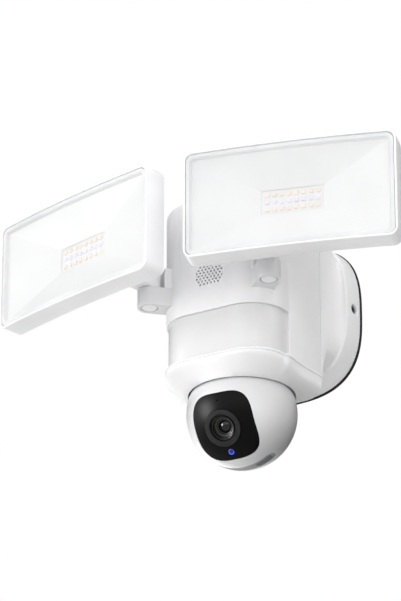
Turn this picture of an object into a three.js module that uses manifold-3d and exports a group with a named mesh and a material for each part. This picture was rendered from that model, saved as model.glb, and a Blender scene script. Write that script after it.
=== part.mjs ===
// A wall-mounted floodlight security camera: two hinged lamp heads on a D-shaped column,
// a motion-sensor window, and a ball camera that pans and tilts under the column.
// Millimetres. +Z is up, -Y is the front and +Y is the wall. The origin is the centre of the
// wall bracket's back face.
import * as THREE from 'three';
import { mergeVertices } from 'three/addons/utils/BufferGeometryUtils.js';
import Module from 'manifold-3d';

const wasm = await Module();
wasm.setup();

// ---- driving dimensions -------------------------------------------------------------------

const GAP = 0.3; // clearance between neighbouring pieces
const WALL = 2.2; // moulded wall thickness
const RAD = Math.PI / 180;

const GASKET = 2; // thickness of the foam seal on the wall
const BASE_HALF = 53.6; // half size of the rounded-square base
const BASE_POWER = 2.9; // superellipse exponent of the base outline
const RIM_Y = -19; // where the base's side wall ends
const RIM_HALF = 52.7;
const COLUMN_BACK = -42.6; // plane where the flare of the base meets the column

const COLUMN_FRONT = -108.2;
const COLUMN_HALF = 42.1; // half width where the front corners end
const COLUMN_BACK_HALF = 45.5;
const CORNER_R = 25.1; // radius of the column's front corners, seen from above
const CORNER_X = COLUMN_HALF - CORNER_R;
const CORNER_Y = COLUMN_FRONT + CORNER_R;
const COLUMN_TOP = 54.5;
const TOP_FILLET = 6;
const WINDOW_TOP = -27;
const WINDOW_BOTTOM = -57.6;
const WINDOW_END_Y = -78.6; // how far back the sensor window wraps round the corners
const WINDOW_INSET = 1.5;

const BALL_R = 35.6;
const BALL_Y = -65.6;
const BALL_Z = -84.6;
const OPENING_R = 34.6; // round mouth of the chin
const CHIN_BOTTOM = -72.3;
const PAN_REST = 2; // degrees that the ball looks towards +X as stored
const TILT_REST = 35; // degrees that it looks down as stored

const ARM_X = 43.9; // vertical pivot of a lamp arm
const ARM_Y = -108.7;
const ARM_HALF = 7.6;
const ARM_BOTTOM = -16.7;
const EAR_TOP = -4.4;
const ARM_TOP = 9.5;

const LAMP_X = 80.3; // centre of a lamp's front face
const LAMP_Y = -149.6;
const LAMP_Z = 19.4;
const LAMP_YAW = 15.2; // degrees outwards as stored
const LAMP_W = 137.3;
const LAMP_H = 73.4;
const LAMP_DEPTH = 16;
const LAMP_CORNER = 6;
const LAMP_BOW = 800; // radius of the gentle bow of the front and back
const PIVOT_U = 24.4; // from a lamp's centre to its vertical pivot, along the lamp
const PIVOT_BACK = 49; // from a lamp's front face back to the vertical pivot
const TILT_BACK = 27; // from a lamp's front face back to its tilt pin
const TILT_Z = 2.6; // height of the tilt pin

// ---- solids -------------------------------------------------------------------------------

function solid(geometry) {
  const bare = geometry.index ? geometry.toNonIndexed() : geometry.clone();
  bare.deleteAttribute('normal');
  bare.deleteAttribute('uv');
  const merged = mergeVertices(bare, 1e-5);
  const index = merged.index.array;
  const kept = [];
  for (let i = 0; i < index.length; i += 3) {
    const [a, b, c] = [index[i], index[i + 1], index[i + 2]];
    if (a !== b && b !== c && a !== c) kept.push(a, b, c);
  }
  return new wasm.Manifold(new wasm.Mesh({
    numProp: 3,
    vertProperties: new Float32Array(merged.attributes.position.array),
    triVerts: new Uint32Array(kept),
  }));
}

function geometryOf(body) {
  const mesh = body.getMesh();
  const geometry = new THREE.BufferGeometry();
  geometry.setAttribute('position', new THREE.BufferAttribute(new Float32Array(mesh.vertProperties), 3));
  geometry.setIndex(new THREE.BufferAttribute(new Uint32Array(mesh.triVerts), 1));
  geometry.computeVertexNormals();
  return geometry;
}

function joined(...bodies) {
  return bodies.reduce((whole, body) => whole.add(body));
}

function cut(body, ...tools) {
  return tools.reduce((rest, tool) => rest.subtract(tool), body);
}

function box(x0, x1, y0, y1, z0, z1) {
  const geometry = new THREE.BoxGeometry(x1 - x0, y1 - y0, z1 - z0);
  geometry.translate((x0 + x1) / 2, (y0 + y1) / 2, (z0 + z1) / 2);
  return solid(geometry);
}

// Where an outline's own x, y and extrusion go: along x it lies in YZ, along y in XZ, along z in XY.
const AXES = {
  x: [new THREE.Vector3(0, 1, 0), new THREE.Vector3(0, 0, 1), new THREE.Vector3(1, 0, 0)],
  y: [new THREE.Vector3(1, 0, 0), new THREE.Vector3(0, 0, 1), new THREE.Vector3(0, -1, 0)],
  z: [new THREE.Vector3(1, 0, 0), new THREE.Vector3(0, 1, 0), new THREE.Vector3(0, 0, 1)],
};

function prism(outline, axis, from, to) {
  const geometry = new THREE.ExtrudeGeometry(new THREE.Shape(outline), {
    depth: to - from,
    bevelEnabled: false,
  });
  geometry.translate(0, 0, axis === 'y' ? -to : from);
  geometry.applyMatrix4(new THREE.Matrix4().makeBasis(...AXES[axis]));
  return solid(geometry);
}

function circle(radius, sides = 24, cx = 0, cy = 0) {
  return Array.from({ length: sides }, (_, i) => {
    const angle = 2 * Math.PI * i / sides;
    return new THREE.Vector2(cx + radius * Math.cos(angle), cy + radius * Math.sin(angle));
  });
}

function rod(axis, radius, from, to, cx = 0, cy = 0, sides = 24) {
  return prism(circle(radius, sides, cx, cy), axis, from, to);
}

function ring(axis, outer, inner, from, to, cx = 0, cy = 0, sides = 24) {
  return cut(rod(axis, outer, from, to, cx, cy, sides), rod(axis, inner, from - 1, to + 1, cx, cy, sides));
}

function roundedRect(width, height, radius, segments = 4) {
  const points = [];
  const corners = [[1, 1, 0], [-1, 1, 90], [-1, -1, 180], [1, -1, 270]];
  for (const [sx, sy, start] of corners) {
    for (let i = 0; i <= segments; i += 1) {
      const angle = (start + 90 * i / segments) * RAD;
      const x = sx * (width / 2 - radius) + radius * Math.cos(angle);
      const y = sy * (height / 2 - radius) + radius * Math.sin(angle);
      points.push(new THREE.Vector2(x, y));
    }
  }
  return points;
}

function superellipse(half, power, angle) {
  const [c, s] = [Math.cos(angle), Math.sin(angle)];
  const radius = half / (Math.abs(c) ** power + Math.abs(s) ** power) ** (1 / power);
  return [radius * c, radius * s];
}

// A solid skinned over rings of points, with a flat or fanned cap at each end.
function loft(rings) {
  const count = rings[0].length;
  const positions = [];
  const put = (...points) => points.forEach((p) => positions.push(p.x, p.y, p.z));
  for (let r = 0; r + 1 < rings.length; r += 1) {
    for (let i = 0; i < count; i += 1) {
      const j = (i + 1) % count;
      const [a, b, c, d] = [rings[r][i], rings[r][j], rings[r + 1][j], rings[r + 1][i]];
      put(a, b, c, a, c, d);
    }
  }
  const centre = (points) => points.reduce((sum, p) => sum.add(p), new THREE.Vector3()).divideScalar(count);
  const first = centre(rings[0]);
  const last = centre(rings.at(-1));
  for (let i = 0; i < count; i += 1) {
    const j = (i + 1) % count;
    put(first, rings[0][j], rings[0][i]);
    put(last, rings.at(-1)[i], rings.at(-1)[j]);
  }
  const geometry = new THREE.BufferGeometry();
  geometry.setAttribute('position', new THREE.BufferAttribute(new Float32Array(positions), 3));
  if (signedVolume(positions) < 0) {
    for (let i = 0; i < positions.length; i += 9) {
      for (let k = 0; k < 3; k += 1) {
        const swap = positions[i + 3 + k];
        positions[i + 3 + k] = positions[i + 6 + k];
        positions[i + 6 + k] = swap;
      }
    }
    geometry.setAttribute('position', new THREE.BufferAttribute(new Float32Array(positions), 3));
  }
  return solid(geometry);
}

function signedVolume(positions) {
  const [a, b, c] = [new THREE.Vector3(), new THREE.Vector3(), new THREE.Vector3()];
  let sum = 0;
  for (let i = 0; i < positions.length; i += 9) {
    a.fromArray(positions, i);
    b.fromArray(positions, i + 3);
    c.fromArray(positions, i + 6);
    sum += a.dot(b.cross(c)) / 6;
  }
  return sum;
}

// ---- materials and the tree ---------------------------------------------------------------

const FINISH = {
  white: [0xf1f1f2, 0.42, 0],
  window: [0xeeeeec, 0.35, 0],
  lens: [0xf6f7f8, 0.12, 0],
  reflector: [0xf4f4f2, 0.3, 0],
  black: [0x0c0c0d, 0.12, 0],
  darkGrey: [0x2e2e30, 0.4, 0],
  greyRubber: [0x8b8c8f, 0.8, 0],
  rubber: [0x17181a, 0.85, 0],
  glass: [0x20242c, 0.03, 0],
  blue: [0x2a3fe0, 0.3, 0],
  board: [0x1f5c3a, 0.55, 0],
  steel: [0xb9bcc0, 0.35, 1],
  aluminium: [0xd0d2d6, 0.4, 1],
  blackSteel: [0x3a3b3e, 0.4, 1],
  acetal: [0xe6e2d6, 0.5, 0],
};

const root = new THREE.Group();

function add(parent, name, body, finish) {
  const [color, roughness, metalness] = FINISH[finish];
  const mesh = new THREE.Mesh(
    geometryOf(body),
    new THREE.MeshStandardMaterial({ color, roughness, metalness }),
  );
  mesh.name = name;
  parent.add(mesh);
}

// ---- wall bracket, seal and base ----------------------------------------------------------

const CABLE_Z = -26; // centre of the wiring inlet
const INLET_R = 9;
const SCREW_Y = -9.5;
const TAB_X = 44; // folded tabs that take the side screws
const TAB_HALF = 8;
const TAB_LENGTH = 16; // from the wall
const PLATE = 2; // sheet thickness of the bracket
const PLATE_HEIGHT = 84;
const PLATE_R = 20;
const SLOT_X = 27; // centre of each fixing slot
const SLOT_WIDTH = 6;
const SLOT_HEIGHT = 18;
const SEAL_WIDTH = 5;
const SCREW_R = 1.8;
const SCREW_HEAD_R = 3;
const SCREW_HEX_R = 1.4; // socket of the head
const SCREW_TIP = 38;
const SCREW_SEAT = 50.2; // where the head bears on the base's side
const SCREW_TOP = 52.4;

function baseRing(half, power, y) {
  return Array.from({ length: 48 }, (_, i) => {
    const [x, z] = superellipse(half, power, 2 * Math.PI * i / 48);
    return new THREE.Vector3(x, y, z);
  });
}

function wallBracket() {
  const plate = prism(roundedRect(TAB_X * 2, PLATE_HEIGHT, PLATE_R, 6), 'y', -PLATE, 0);
  const slot = prism(roundedRect(SLOT_WIDTH, SLOT_HEIGHT, SLOT_WIDTH / 2 - 0.1, 3), 'y', -4, 2);
  let bracket = cut(plate, rod('y', INLET_R + GAP, -4, 2, 0, CABLE_Z));
  for (const side of [-1, 1]) {
    bracket = cut(bracket, slot.translate([side * SLOT_X, 0, 0]));
    const near = side * TAB_X;
    const far = side * (TAB_X - PLATE);
    const tab = box(Math.min(near, far), Math.max(near, far), -TAB_LENGTH, -PLATE / 2, -TAB_HALF, TAB_HALF);
    const hole = rod('x', SCREW_R + 0.4, side * TAB_X - 5, side * TAB_X + 5, SCREW_Y, 0, 12);
    bracket = joined(bracket, tab).subtract(hole);
  }
  return bracket;
}

function wallSeal() {
  const rim = BASE_HALF + 0.1;
  const outer = loft([baseRing(rim, BASE_POWER, -GASKET), baseRing(rim, BASE_POWER, 0)]);
  const inside = rim - 0.1 - SEAL_WIDTH;
  return cut(outer, loft([baseRing(inside, BASE_POWER, -3), baseRing(inside, BASE_POWER, 1)]));
}

const FLARE_TOP = 49;
const FLARE_BOTTOM = 72; // its front edge comes down level with the chin
const WEB_SHARE = 0.08; // part of the flare's length that closes the back of the chin
const FLARE_POWER = 12; // exponent of its nearly square front end

// The concave flare between the column's back plane and the base's rim: share 0 is the column, 1 the rim.
function flareRing(share, inset) {
  const y = COLUMN_BACK + GAP + share * (RIM_Y - COLUMN_BACK - GAP);
  const weight = 1 - Math.sqrt(1 - share * share);
  const beyond = Math.max(0, (share - WEB_SHARE) / (1 - WEB_SHARE));
  const lowWeight = 1 - (1 - beyond) ** 6;
  return baseRing(1, BASE_POWER, y).map((point, i) => {
    const angle = 2 * Math.PI * i / 48;
    const [rx, rz] = superellipse(RIM_HALF - 1 - inset, BASE_POWER, angle);
    const [cx, cz] = superellipse(1, FLARE_POWER, angle);
    const x = THREE.MathUtils.lerp(cx * (COLUMN_BACK_HALF - inset), rx, weight);
    const reach = cz > 0 ? FLARE_TOP : FLARE_BOTTOM;
    const z = THREE.MathUtils.lerp(cz * (reach - inset), rz, cz > 0 ? weight : lowWeight);
    return new THREE.Vector3(x, point.y, z);
  });
}

function baseCover() {
  const shares = [0, WEB_SHARE, 0.14, 0.22, 0.35, 0.55, 0.75, 0.9, 0.98];
  const back = -GASKET - GAP;
  const outer = loft([
    ...shares.map((share) => flareRing(share, 0)),
    baseRing(RIM_HALF - 0.3, BASE_POWER, RIM_Y + 0.8),
    baseRing(RIM_HALF, BASE_POWER, RIM_Y + 2.5),
    baseRing(BASE_HALF, BASE_POWER, back),
  ]);
  const inner = loft([
    baseRing(1, 7, COLUMN_BACK - 1).map((p) => new THREE.Vector3(p.x * 42, p.y, p.z * 46)),
    baseRing(1, 6, -24).map((p) => new THREE.Vector3(p.x * 42.6, p.y, p.z * 46.4)),
    baseRing(RIM_HALF - WALL - 1, BASE_POWER, RIM_Y + 1.5),
    baseRing(BASE_HALF - WALL, BASE_POWER, 1),
  ]);
  return cut(outer, inner, ballRoom(), rod('x', SCREW_HEAD_R + 0.4, -70, 70, SCREW_Y, 0, 16));
}

function sideScrew(side) {
  const shank = rod('x', SCREW_R, SCREW_TIP, SCREW_SEAT + 0.1, SCREW_Y, 0, 12);
  const head = rod('x', SCREW_HEAD_R, SCREW_SEAT, SCREW_TOP, SCREW_Y, 0, 16);
  const socket = rod('x', SCREW_HEX_R, SCREW_SEAT + 1, SCREW_TOP + 1, SCREW_Y, 0, 6);
  const screw = joined(shank, head).subtract(socket);
  return side > 0 ? screw : screw.rotate([0, 0, 180]).translate([0, 2 * SCREW_Y, 0]);
}

const BOARD_FACE = -12; // front of the power board
const BOARD_THICK = 1.6;

function powerBoard() {
  const sunk = BOARD_FACE + 0.5; // the parts on the board reach a little into it
  const card = prism(roundedRect(72, 60, 3, 2), 'y', BOARD_FACE, BOARD_FACE + BOARD_THICK);
  const transformer = box(-28, -8, -20.5, sunk, 4, 24);
  const capacitor = rod('y', 5, -20, sunk, 12, 18, 16);
  const relay = box(6, 24, -19, sunk, -18, -4);
  const terminal = box(-20, 4, -11, -5, -8, 2);
  return joined(card, transformer, capacitor, relay, terminal)
    .subtract(rod('y', 10, -30, 0, 0, CABLE_Z));
}

// ---- column -------------------------------------------------------------------------------

// Half width of the column at a given depth: it widens in a straight line behind the corners.
function columnHalf(y) {
  const share = THREE.MathUtils.clamp((y - CORNER_Y) / (COLUMN_BACK - CORNER_Y), 0, 1);
  return THREE.MathUtils.lerp(COLUMN_HALF, COLUMN_BACK_HALF, share);
}

// The column seen from above: flat front, round corners and slightly splayed sides.
function columnPlan(offset, back = COLUMN_BACK, segments = 8) {
  const half = [new THREE.Vector2(columnHalf(back) + offset, back)];
  for (let i = 0; i <= segments; i += 1) {
    const angle = -Math.PI / 2 * i / segments;
    const x = CORNER_X + (CORNER_R + offset) * Math.cos(angle);
    const y = CORNER_Y + (CORNER_R + offset) * Math.sin(angle);
    half.push(new THREE.Vector2(x, y));
  }
  return [...half, ...half.map((p) => new THREE.Vector2(-p.x, p.y)).reverse()];
}

function planRing(offset, z, back) {
  return columnPlan(offset, back).map((p) => new THREE.Vector3(p.x, p.y, z));
}

// The outside of the column above the window, with its rounded top edge.
function columnBlock(offset, bottom, top, fillet) {
  const steps = [0, 30, 60, 90];
  return loft([
    planRing(offset, bottom),
    ...steps.map((angle) => planRing(
      offset - fillet * (1 - Math.cos(angle * RAD)),
      top - fillet * (1 - Math.sin(angle * RAD)),
    )),
  ]);
}

const HOLE_R = 0.6;
const GRILLE_COLUMN = 2.6;
const GRILLE_ROW = 2;
const GRILLE_Z = -2.2; // centre of the speaker grille
const GRILLE_COUNTS = [6, 7, 8, 7, 8, 7, 6]; // holes in each row, from the bottom

function grilleHoles() {
  const holes = [];
  GRILLE_COUNTS.forEach((count, row) => {
    const z = GRILLE_Z + (row - (GRILLE_COUNTS.length - 1) / 2) * GRILLE_ROW;
    for (let i = 0; i < count; i += 1) {
      const x = (i - (count - 1) / 2) * GRILLE_COLUMN;
      holes.push(rod('y', HOLE_R, COLUMN_FRONT - 3, COLUMN_FRONT + WALL + 1, x, z, 4));
    }
  });
  return wasm.Manifold.union(holes);
}

function columnShell() {
  const outer = columnBlock(0, WINDOW_BOTTOM, COLUMN_TOP, TOP_FILLET);
  const cavity = prism(columnPlan(-WALL, COLUMN_BACK - WALL), 'z', WINDOW_BOTTOM - 5, COLUMN_TOP - WALL - 2);
  const backDoor = prism(roundedRect(80, 92, 10), 'y', COLUMN_BACK - 6, COLUMN_BACK + 5);
  const windowHole = box(-60, 60, -130, WINDOW_END_Y, WINDOW_BOTTOM - 5, WINDOW_TOP);
  return cut(outer, cavity, backDoor, windowHole, grilleHoles(), ballRoom());
}

const WINDOW_THICK = 1.4;

function sensorWindow() {
  const face = columnPlan(-WINDOW_INSET, WINDOW_END_Y - GAP);
  const behind = columnPlan(-WINDOW_INSET - WINDOW_THICK, WINDOW_END_Y + 5);
  const bottom = WINDOW_BOTTOM + GAP;
  const top = WINDOW_TOP - GAP;
  return cut(prism(face, 'z', bottom, top), prism(behind, 'z', bottom - 1, top + 1));
}

function sensorBoard() {
  const card = box(-26, 26, -96, -94.6, -55, -30);
  const shield = box(-10, 10, -95, -93.2, -50, -36);
  return joined(card, shield);
}

// The room the ball turns in, cut from the pieces round it.
function ballRoom() {
  return sphere(BALL_R + 1, 0, 0, 0, 40, 26).translate([0, BALL_Y, BALL_Z]);
}

// ---- chin ---------------------------------------------------------------------------------

// Distance from the ball's axis to the column's outline, in the direction of an angle.
function planRadius(angle) {
  const direction = new THREE.Vector2(Math.abs(Math.cos(angle)), Math.sin(angle));
  const corner = new THREE.Vector2(CORNER_X, CORNER_Y - BALL_Y);
  const along = direction.dot(corner);
  const round = along + Math.sqrt(along * along - corner.lengthSq() + CORNER_R * CORNER_R);
  const hit = direction.clone().multiplyScalar(round);
  if (hit.x < CORNER_X) return (COLUMN_FRONT - BALL_Y) / direction.y;
  if (hit.y > CORNER_Y - BALL_Y) return columnHalf(BALL_Y) / direction.x;
  return round;
}

// One ring of the chin: blend 0 follows the column's plan, blend 1 the round mouth.
function chinRing(blend, offset, mouth, frontZ, rearZ, back) {
  const points = [];
  const rear = (side, y) => {
    const x = THREE.MathUtils.lerp(columnHalf(y) + offset, mouth, blend);
    points.push(new THREE.Vector3(side * x, y, rearZ));
  };
  const STEPS = 24;
  rear(1, back);
  rear(1, (back + BALL_Y) / 2);
  for (let i = 0; i <= STEPS; i += 1) {
    const angle = -Math.PI * i / STEPS;
    const radius = THREE.MathUtils.lerp(planRadius(angle) + offset, mouth, blend);
    const edge = Math.abs(Math.cos(angle));
    const z = THREE.MathUtils.lerp(frontZ, rearZ, edge ** 6);
    points.push(new THREE.Vector3(radius * Math.cos(angle), BALL_Y + radius * Math.sin(angle), z));
  }
  rear(-1, (back + BALL_Y) / 2);
  rear(-1, back);
  return points;
}

function chinCover() {
  const top = WINDOW_BOTTOM - GAP;
  const lip = OPENING_R + 1.2;
  const throat = OPENING_R - 1.5;
  const back = COLUMN_BACK;
  const inside = COLUMN_BACK - WALL;
  const outer = loft([
    chinRing(0, -0.3, lip, top, top, back),
    chinRing(0, 0.5, lip, top - 0.9, top - 0.9, back),
    chinRing(0, 0.5, lip, top - 2.6, -66.5, back),
    chinRing(0.4, 0.4, lip, top - 7.2, -70, back),
    chinRing(1, 0, lip, CHIN_BOTTOM, CHIN_BOTTOM, back),
  ]);
  const hollow = loft([
    chinRing(0, -WALL, throat, top + 2, top + 2, inside),
    chinRing(0, -WALL, throat, top - 2.2, -65, inside),
    chinRing(0.4, -WALL, throat, top - 6.2, -68, inside),
    chinRing(1, 0, throat, CHIN_BOTTOM + 2, CHIN_BOTTOM + 2, inside),
  ]);
  const mouth = rod('z', OPENING_R, CHIN_BOTTOM - 3, CHIN_BOTTOM + 5, 0, BALL_Y, 40);
  return cut(outer, hollow, mouth, ballRoom());
}

// ---- lamp arms ----------------------------------------------------------------------------

const CAP_R = 5.1;
const CAP_THICK = 1.4;
const CAP_RECESS = 4.3; // depth of the counterbore that holds the pin's head and the cap
const PIN_R = 2.5;
const PIN_HEAD_R = 4.6;

function armBody(side) {
  const reach = Math.hypot(ARM_X - CORNER_X, ARM_Y - CORNER_Y);
  const angle = Math.atan2(ARM_Y - CORNER_Y, side * (ARM_X - CORNER_X));
  const ear = joined(
    box(-reach, 0, -ARM_HALF, ARM_HALF, ARM_BOTTOM, EAR_TOP),
    rod('z', ARM_HALF, ARM_BOTTOM, EAR_TOP, 0, 0, 32),
  );
  const rootBlock = box(-reach, -ARM_HALF - 1, -ARM_HALF, ARM_HALF, ARM_BOTTOM, ARM_TOP);
  const counterbore = rod('z', CAP_R + GAP, ARM_BOTTOM - 1, ARM_BOTTOM + CAP_RECESS);
  const hole = rod('z', PIN_R + GAP, ARM_BOTTOM, EAR_TOP + 1);
  const arm = cut(joined(ear, rootBlock), counterbore, hole)
    .rotate([0, 0, angle / RAD])
    .translate([side * ARM_X, ARM_Y, 0]);
  return cut(arm, prism(columnPlan(GAP), 'z', ARM_BOTTOM - 5, ARM_TOP + 5));
}

function pivotPin() {
  const headTop = ARM_BOTTOM + CAP_RECESS - GAP;
  const head = rod('z', PIN_HEAD_R, ARM_BOTTOM + CAP_THICK + GAP, headTop, 0, 0, 20);
  return joined(head, rod('z', PIN_R, headTop - 0.1, ARM_TOP - 0.7));
}

function pivotCap() {
  return rod('z', CAP_R, ARM_BOTTOM, ARM_BOTTOM + CAP_THICK);
}

// ---- lamp heads, drawn with the front face at y = 0 and the back towards +y ---------------

function bowedSlab(width, height, radius, front, back) {
  const STEPS = 12;
  const edge = (y) => Array.from({ length: STEPS + 1 }, (_, i) => {
    const x = (i / STEPS - 0.5) * (width + 2);
    return new THREE.Vector2(x, y + x * x / (2 * LAMP_BOW));
  });
  const plan = [...edge(front), ...edge(back).reverse()];
  return prism(plan, 'z', -height / 2 - 1, height / 2 + 1)
    .intersect(prism(roundedRect(width, height, radius), 'y', front - 5, back + 8));
}

const TILT_LOCAL_Z = TILT_Z - LAMP_Z;
const LUG_R = 6.5;
const LUG_NEAR = 9.4; // from the knuckle's middle to the inner face of a lug
const LUG_FAR = 13.4;
const TILT_PIN_R = 2;
const TILT_HEAD_R = 3.8;
const TILT_HEAD = 1.5; // thickness of the pin's riveted heads
const BEZEL = 1.4; // width of the housing's rim round the lens
const LENS_EDGE = 1.7; // from the housing's edge to the lens's edge
const LENS_FRONT = 0.2;
const LENS_BACK = 2;
const REFLECTOR_EDGE = 4.6;

function lampHousing(side) {
  const outer = bowedSlab(LAMP_W, LAMP_H, LAMP_CORNER, 0, LAMP_DEPTH);
  const rebate = bowedSlab(LAMP_W - 2 * BEZEL, LAMP_H - 2 * BEZEL, LAMP_CORNER - BEZEL, -3, 3.2);
  const hollow = bowedSlab(LAMP_W - 8, LAMP_H - 8, 4, 0, LAMP_DEPTH - 2);
  let housing = cut(outer, rebate, hollow);
  for (const hand of [-1, 1]) {
    const x0 = -side * PIVOT_U + (hand > 0 ? LUG_NEAR : -LUG_FAR);
    const x1 = x0 + LUG_FAR - LUG_NEAR;
    const arm = box(x0, x1, LAMP_DEPTH - 1, TILT_BACK, TILT_LOCAL_Z - LUG_R, TILT_LOCAL_Z + LUG_R);
    const eye = rod('x', LUG_R, x0, x1, TILT_BACK, TILT_LOCAL_Z);
    const hole = rod('x', TILT_PIN_R + GAP, x0 - 1, x1 + 1, TILT_BACK, TILT_LOCAL_Z, 16);
    housing = cut(joined(housing, arm, eye), hole);
  }
  return housing;
}

function lampLens() {
  const [wide, tall] = [LAMP_W - 2 * LENS_EDGE, LAMP_H - 2 * LENS_EDGE];
  return bowedSlab(wide, tall, LAMP_CORNER - LENS_EDGE, LENS_FRONT, LENS_BACK);
}

function lampSeal() {
  return cut(
    bowedSlab(LAMP_W - 3.6, LAMP_H - 3.6, LAMP_CORNER - 1.8, LENS_BACK + GAP, LENS_BACK + 0.9),
    bowedSlab(LAMP_W - 8.6, LAMP_H - 8.6, 3, 1, 5),
  );
}

function lampReflector() {
  const rim = (w, h, y) => roundedRect(w, h, 2, 2).map((p) => {
    return new THREE.Vector3(p.x, y + p.x * p.x / (2 * LAMP_BOW), p.y);
  });
  const [wide, tall] = [LAMP_W - 2 * REFLECTOR_EDGE, LAMP_H - 2 * REFLECTOR_EDGE];
  const outer = loft([rim(wide, tall, 3.3), rim(wide, tall, 4.2), rim(44, 20, 12.5)]);
  const inner = loft([
    rim(wide - 2, tall - 2, 1),
    rim(wide - 2, tall - 2, 3.4),
    rim(42, 18, 12.2),
    rim(42, 18, 14),
  ]);
  return cut(outer, inner);
}

const LED_ROWS = 3;
const LED_COLUMNS = 8;
const LED_STEP_X = 4.7;
const LED_STEP_Z = 5;
const CHIP_HALF = 1.4;

function ledBoard() {
  const card = prism(roundedRect(56, 24, 2, 2), 'y', 13.1, 13.8);
  const chips = [];
  for (let row = 0; row < LED_ROWS; row += 1) {
    for (let i = 0; i < LED_COLUMNS; i += 1) {
      const x = (i - (LED_COLUMNS - 1) / 2) * LED_STEP_X;
      const z = (row - (LED_ROWS - 1) / 2) * LED_STEP_Z;
      chips.push(box(x - CHIP_HALF, x + CHIP_HALF, 12.4, 13.2, z - CHIP_HALF, z + CHIP_HALF));
    }
  }
  return joined(card, ...chips);
}

function knuckle(side) {
  const x = -side * PIVOT_U;
  const bottom = EAR_TOP + GAP - LAMP_Z;
  const top = ARM_TOP - 0.2 - LAMP_Z;
  const barrel = rod('z', ARM_HALF - 0.2, bottom, top, x, PIVOT_BACK);
  const link = box(x - 6, x + 6, TILT_BACK, PIVOT_BACK, bottom + 0.3, top - 0.3);
  const cross = rod('x', LUG_R, x - LUG_NEAR + GAP, x + LUG_NEAR - GAP, TILT_BACK, TILT_LOCAL_Z);
  return cut(
    joined(barrel, link, cross),
    rod('z', PIN_R + GAP + 0.1, bottom - 1, top + 1, x, PIVOT_BACK),
    rod('x', TILT_PIN_R + GAP, x - 20, x + 20, TILT_BACK, TILT_LOCAL_Z, 16),
  );
}

function tiltPin(side) {
  const x = -side * PIVOT_U;
  const end = LUG_FAR + GAP;
  const tip = end + TILT_HEAD;
  return joined(
    rod('x', TILT_PIN_R, x - tip, x + tip, TILT_BACK, TILT_LOCAL_Z, 16),
    rod('x', TILT_HEAD_R, x - tip, x - end, TILT_BACK, TILT_LOCAL_Z, 16),
    rod('x', TILT_HEAD_R, x + end, x + tip, TILT_BACK, TILT_LOCAL_Z, 16),
  );
}

// ---- pan drive: a toothed turntable, a pinion and its motor -------------------------------

const GEAR_MODULE = 1;
const TABLE_TEETH = 48;
const PINION_TEETH = 12;
const PINION_Y = BALL_Y + GEAR_MODULE * (TABLE_TEETH + PINION_TEETH) / 2;
const TABLE_BOTTOM = -43.7;
const TABLE_TOP = -39.7;
const HUB_R = 19;
const PLATE_TOP = -44.1; // the bearing plate that the turntable rides on
const PLATE_BOTTOM = -46.6;
const AXLE_R = 3;
const AXLE_HALF = 31;
const POST_X = 6; // half width and half depth of the post that holds the ball
const POST_Y = 4;

// Straight-flanked teeth, thinned a little so that they run with backlash.
function gearOutline(teeth, phase, cx, cy) {
  const pitch = GEAR_MODULE * teeth / 2;
  const tooth = Math.PI / teeth;
  const shape = [[-0.86, -1.15], [-0.24, 0.9], [0.24, 0.9], [0.86, -1.15]];
  const points = [];
  for (let i = 0; i < teeth; i += 1) {
    for (const [side, height] of shape) {
      const angle = phase + tooth * (2 * i + side * 0.8);
      const radius = pitch + height * GEAR_MODULE;
      points.push(new THREE.Vector2(cx + radius * Math.cos(angle), cy + radius * Math.sin(angle)));
    }
  }
  return points;
}

function turntable() {
  const phase = Math.PI / 2 - PAN_REST * RAD;
  const teeth = prism(gearOutline(TABLE_TEETH, phase, 0, 0), 'z', TABLE_BOTTOM, TABLE_TOP);
  const hub = rod('z', HUB_R, TABLE_BOTTOM - 3.9, TABLE_BOTTOM + 1, 0, 0, 32);
  const post = box(-POST_X, POST_X, -POST_Y, POST_Y, BALL_Z, TABLE_BOTTOM - 1);
  const eye = rod('x', 7, -POST_X, POST_X, 0, BALL_Z);
  const axleHole = rod('x', AXLE_R + 0.4, -20, 20, 0, BALL_Z, 16);
  const wireHole = rod('z', 4, TABLE_BOTTOM - 1, TABLE_TOP + 1, 0, 12, 12);
  return cut(joined(teeth, hub, post, eye), axleHole, wireHole);
}

function bearingPlate() {
  const plate = box(-34, 34, -92, -45.1, PLATE_BOTTOM, PLATE_TOP);
  return cut(plate, rod('z', HUB_R + 0.5, -50, -40, 0, BALL_Y, 32));
}

function panPinion() {
  const phase = -Math.PI / 2 + Math.PI / PINION_TEETH;
  const outline = gearOutline(PINION_TEETH, phase, 0, PINION_Y);
  const teeth = prism(outline, 'z', TABLE_BOTTOM + 0.2, TABLE_TOP - 0.2);
  return joined(teeth, rod('z', 1.6, TABLE_TOP - 1, -34, 0, PINION_Y, 12));
}

function panMotor() {
  const can = rod('z', 10, -38.6, -21, 0, PINION_Y + 2, 20);
  return cut(can, rod('z', 2.2, -40, -33.5, 0, PINION_Y, 12));
}

// ---- ball camera, drawn about its own centre and looking along -y -------------------------

const FACE_HALF_X = 20.5;
const FACE_HALF_Z = 21.8;
const FACE_R = 45.5; // radius of the face's gentle dome
const FACE_FRONT = 33.4; // how far its middle stands from the ball's centre
const FACE_POWER = 3.2; // superellipse exponent of the face's outline
const LENS_RING_R = 12.1;
const BARREL_R = 8.7;
const GLASS_R = 5.9;
const LIGHT_Z = -16.4;
const LIGHT_R = 2.2;
const MIC_Z = 17.6;
const CAP_SPLIT = 16; // the rear cap's parting plane
const FLAP_ANGLE = 63.5; // below the lens axis
const FLAP_LENGTH = 41;
const FLAP_WIDTH = 9;

function sphere(radius, x = 0, y = 0, z = 0, around = 28, down = 18) {
  const geometry = new THREE.SphereGeometry(radius, around, down);
  geometry.rotateX(Math.PI / 2);
  geometry.translate(x, y, z);
  return solid(geometry);
}

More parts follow.
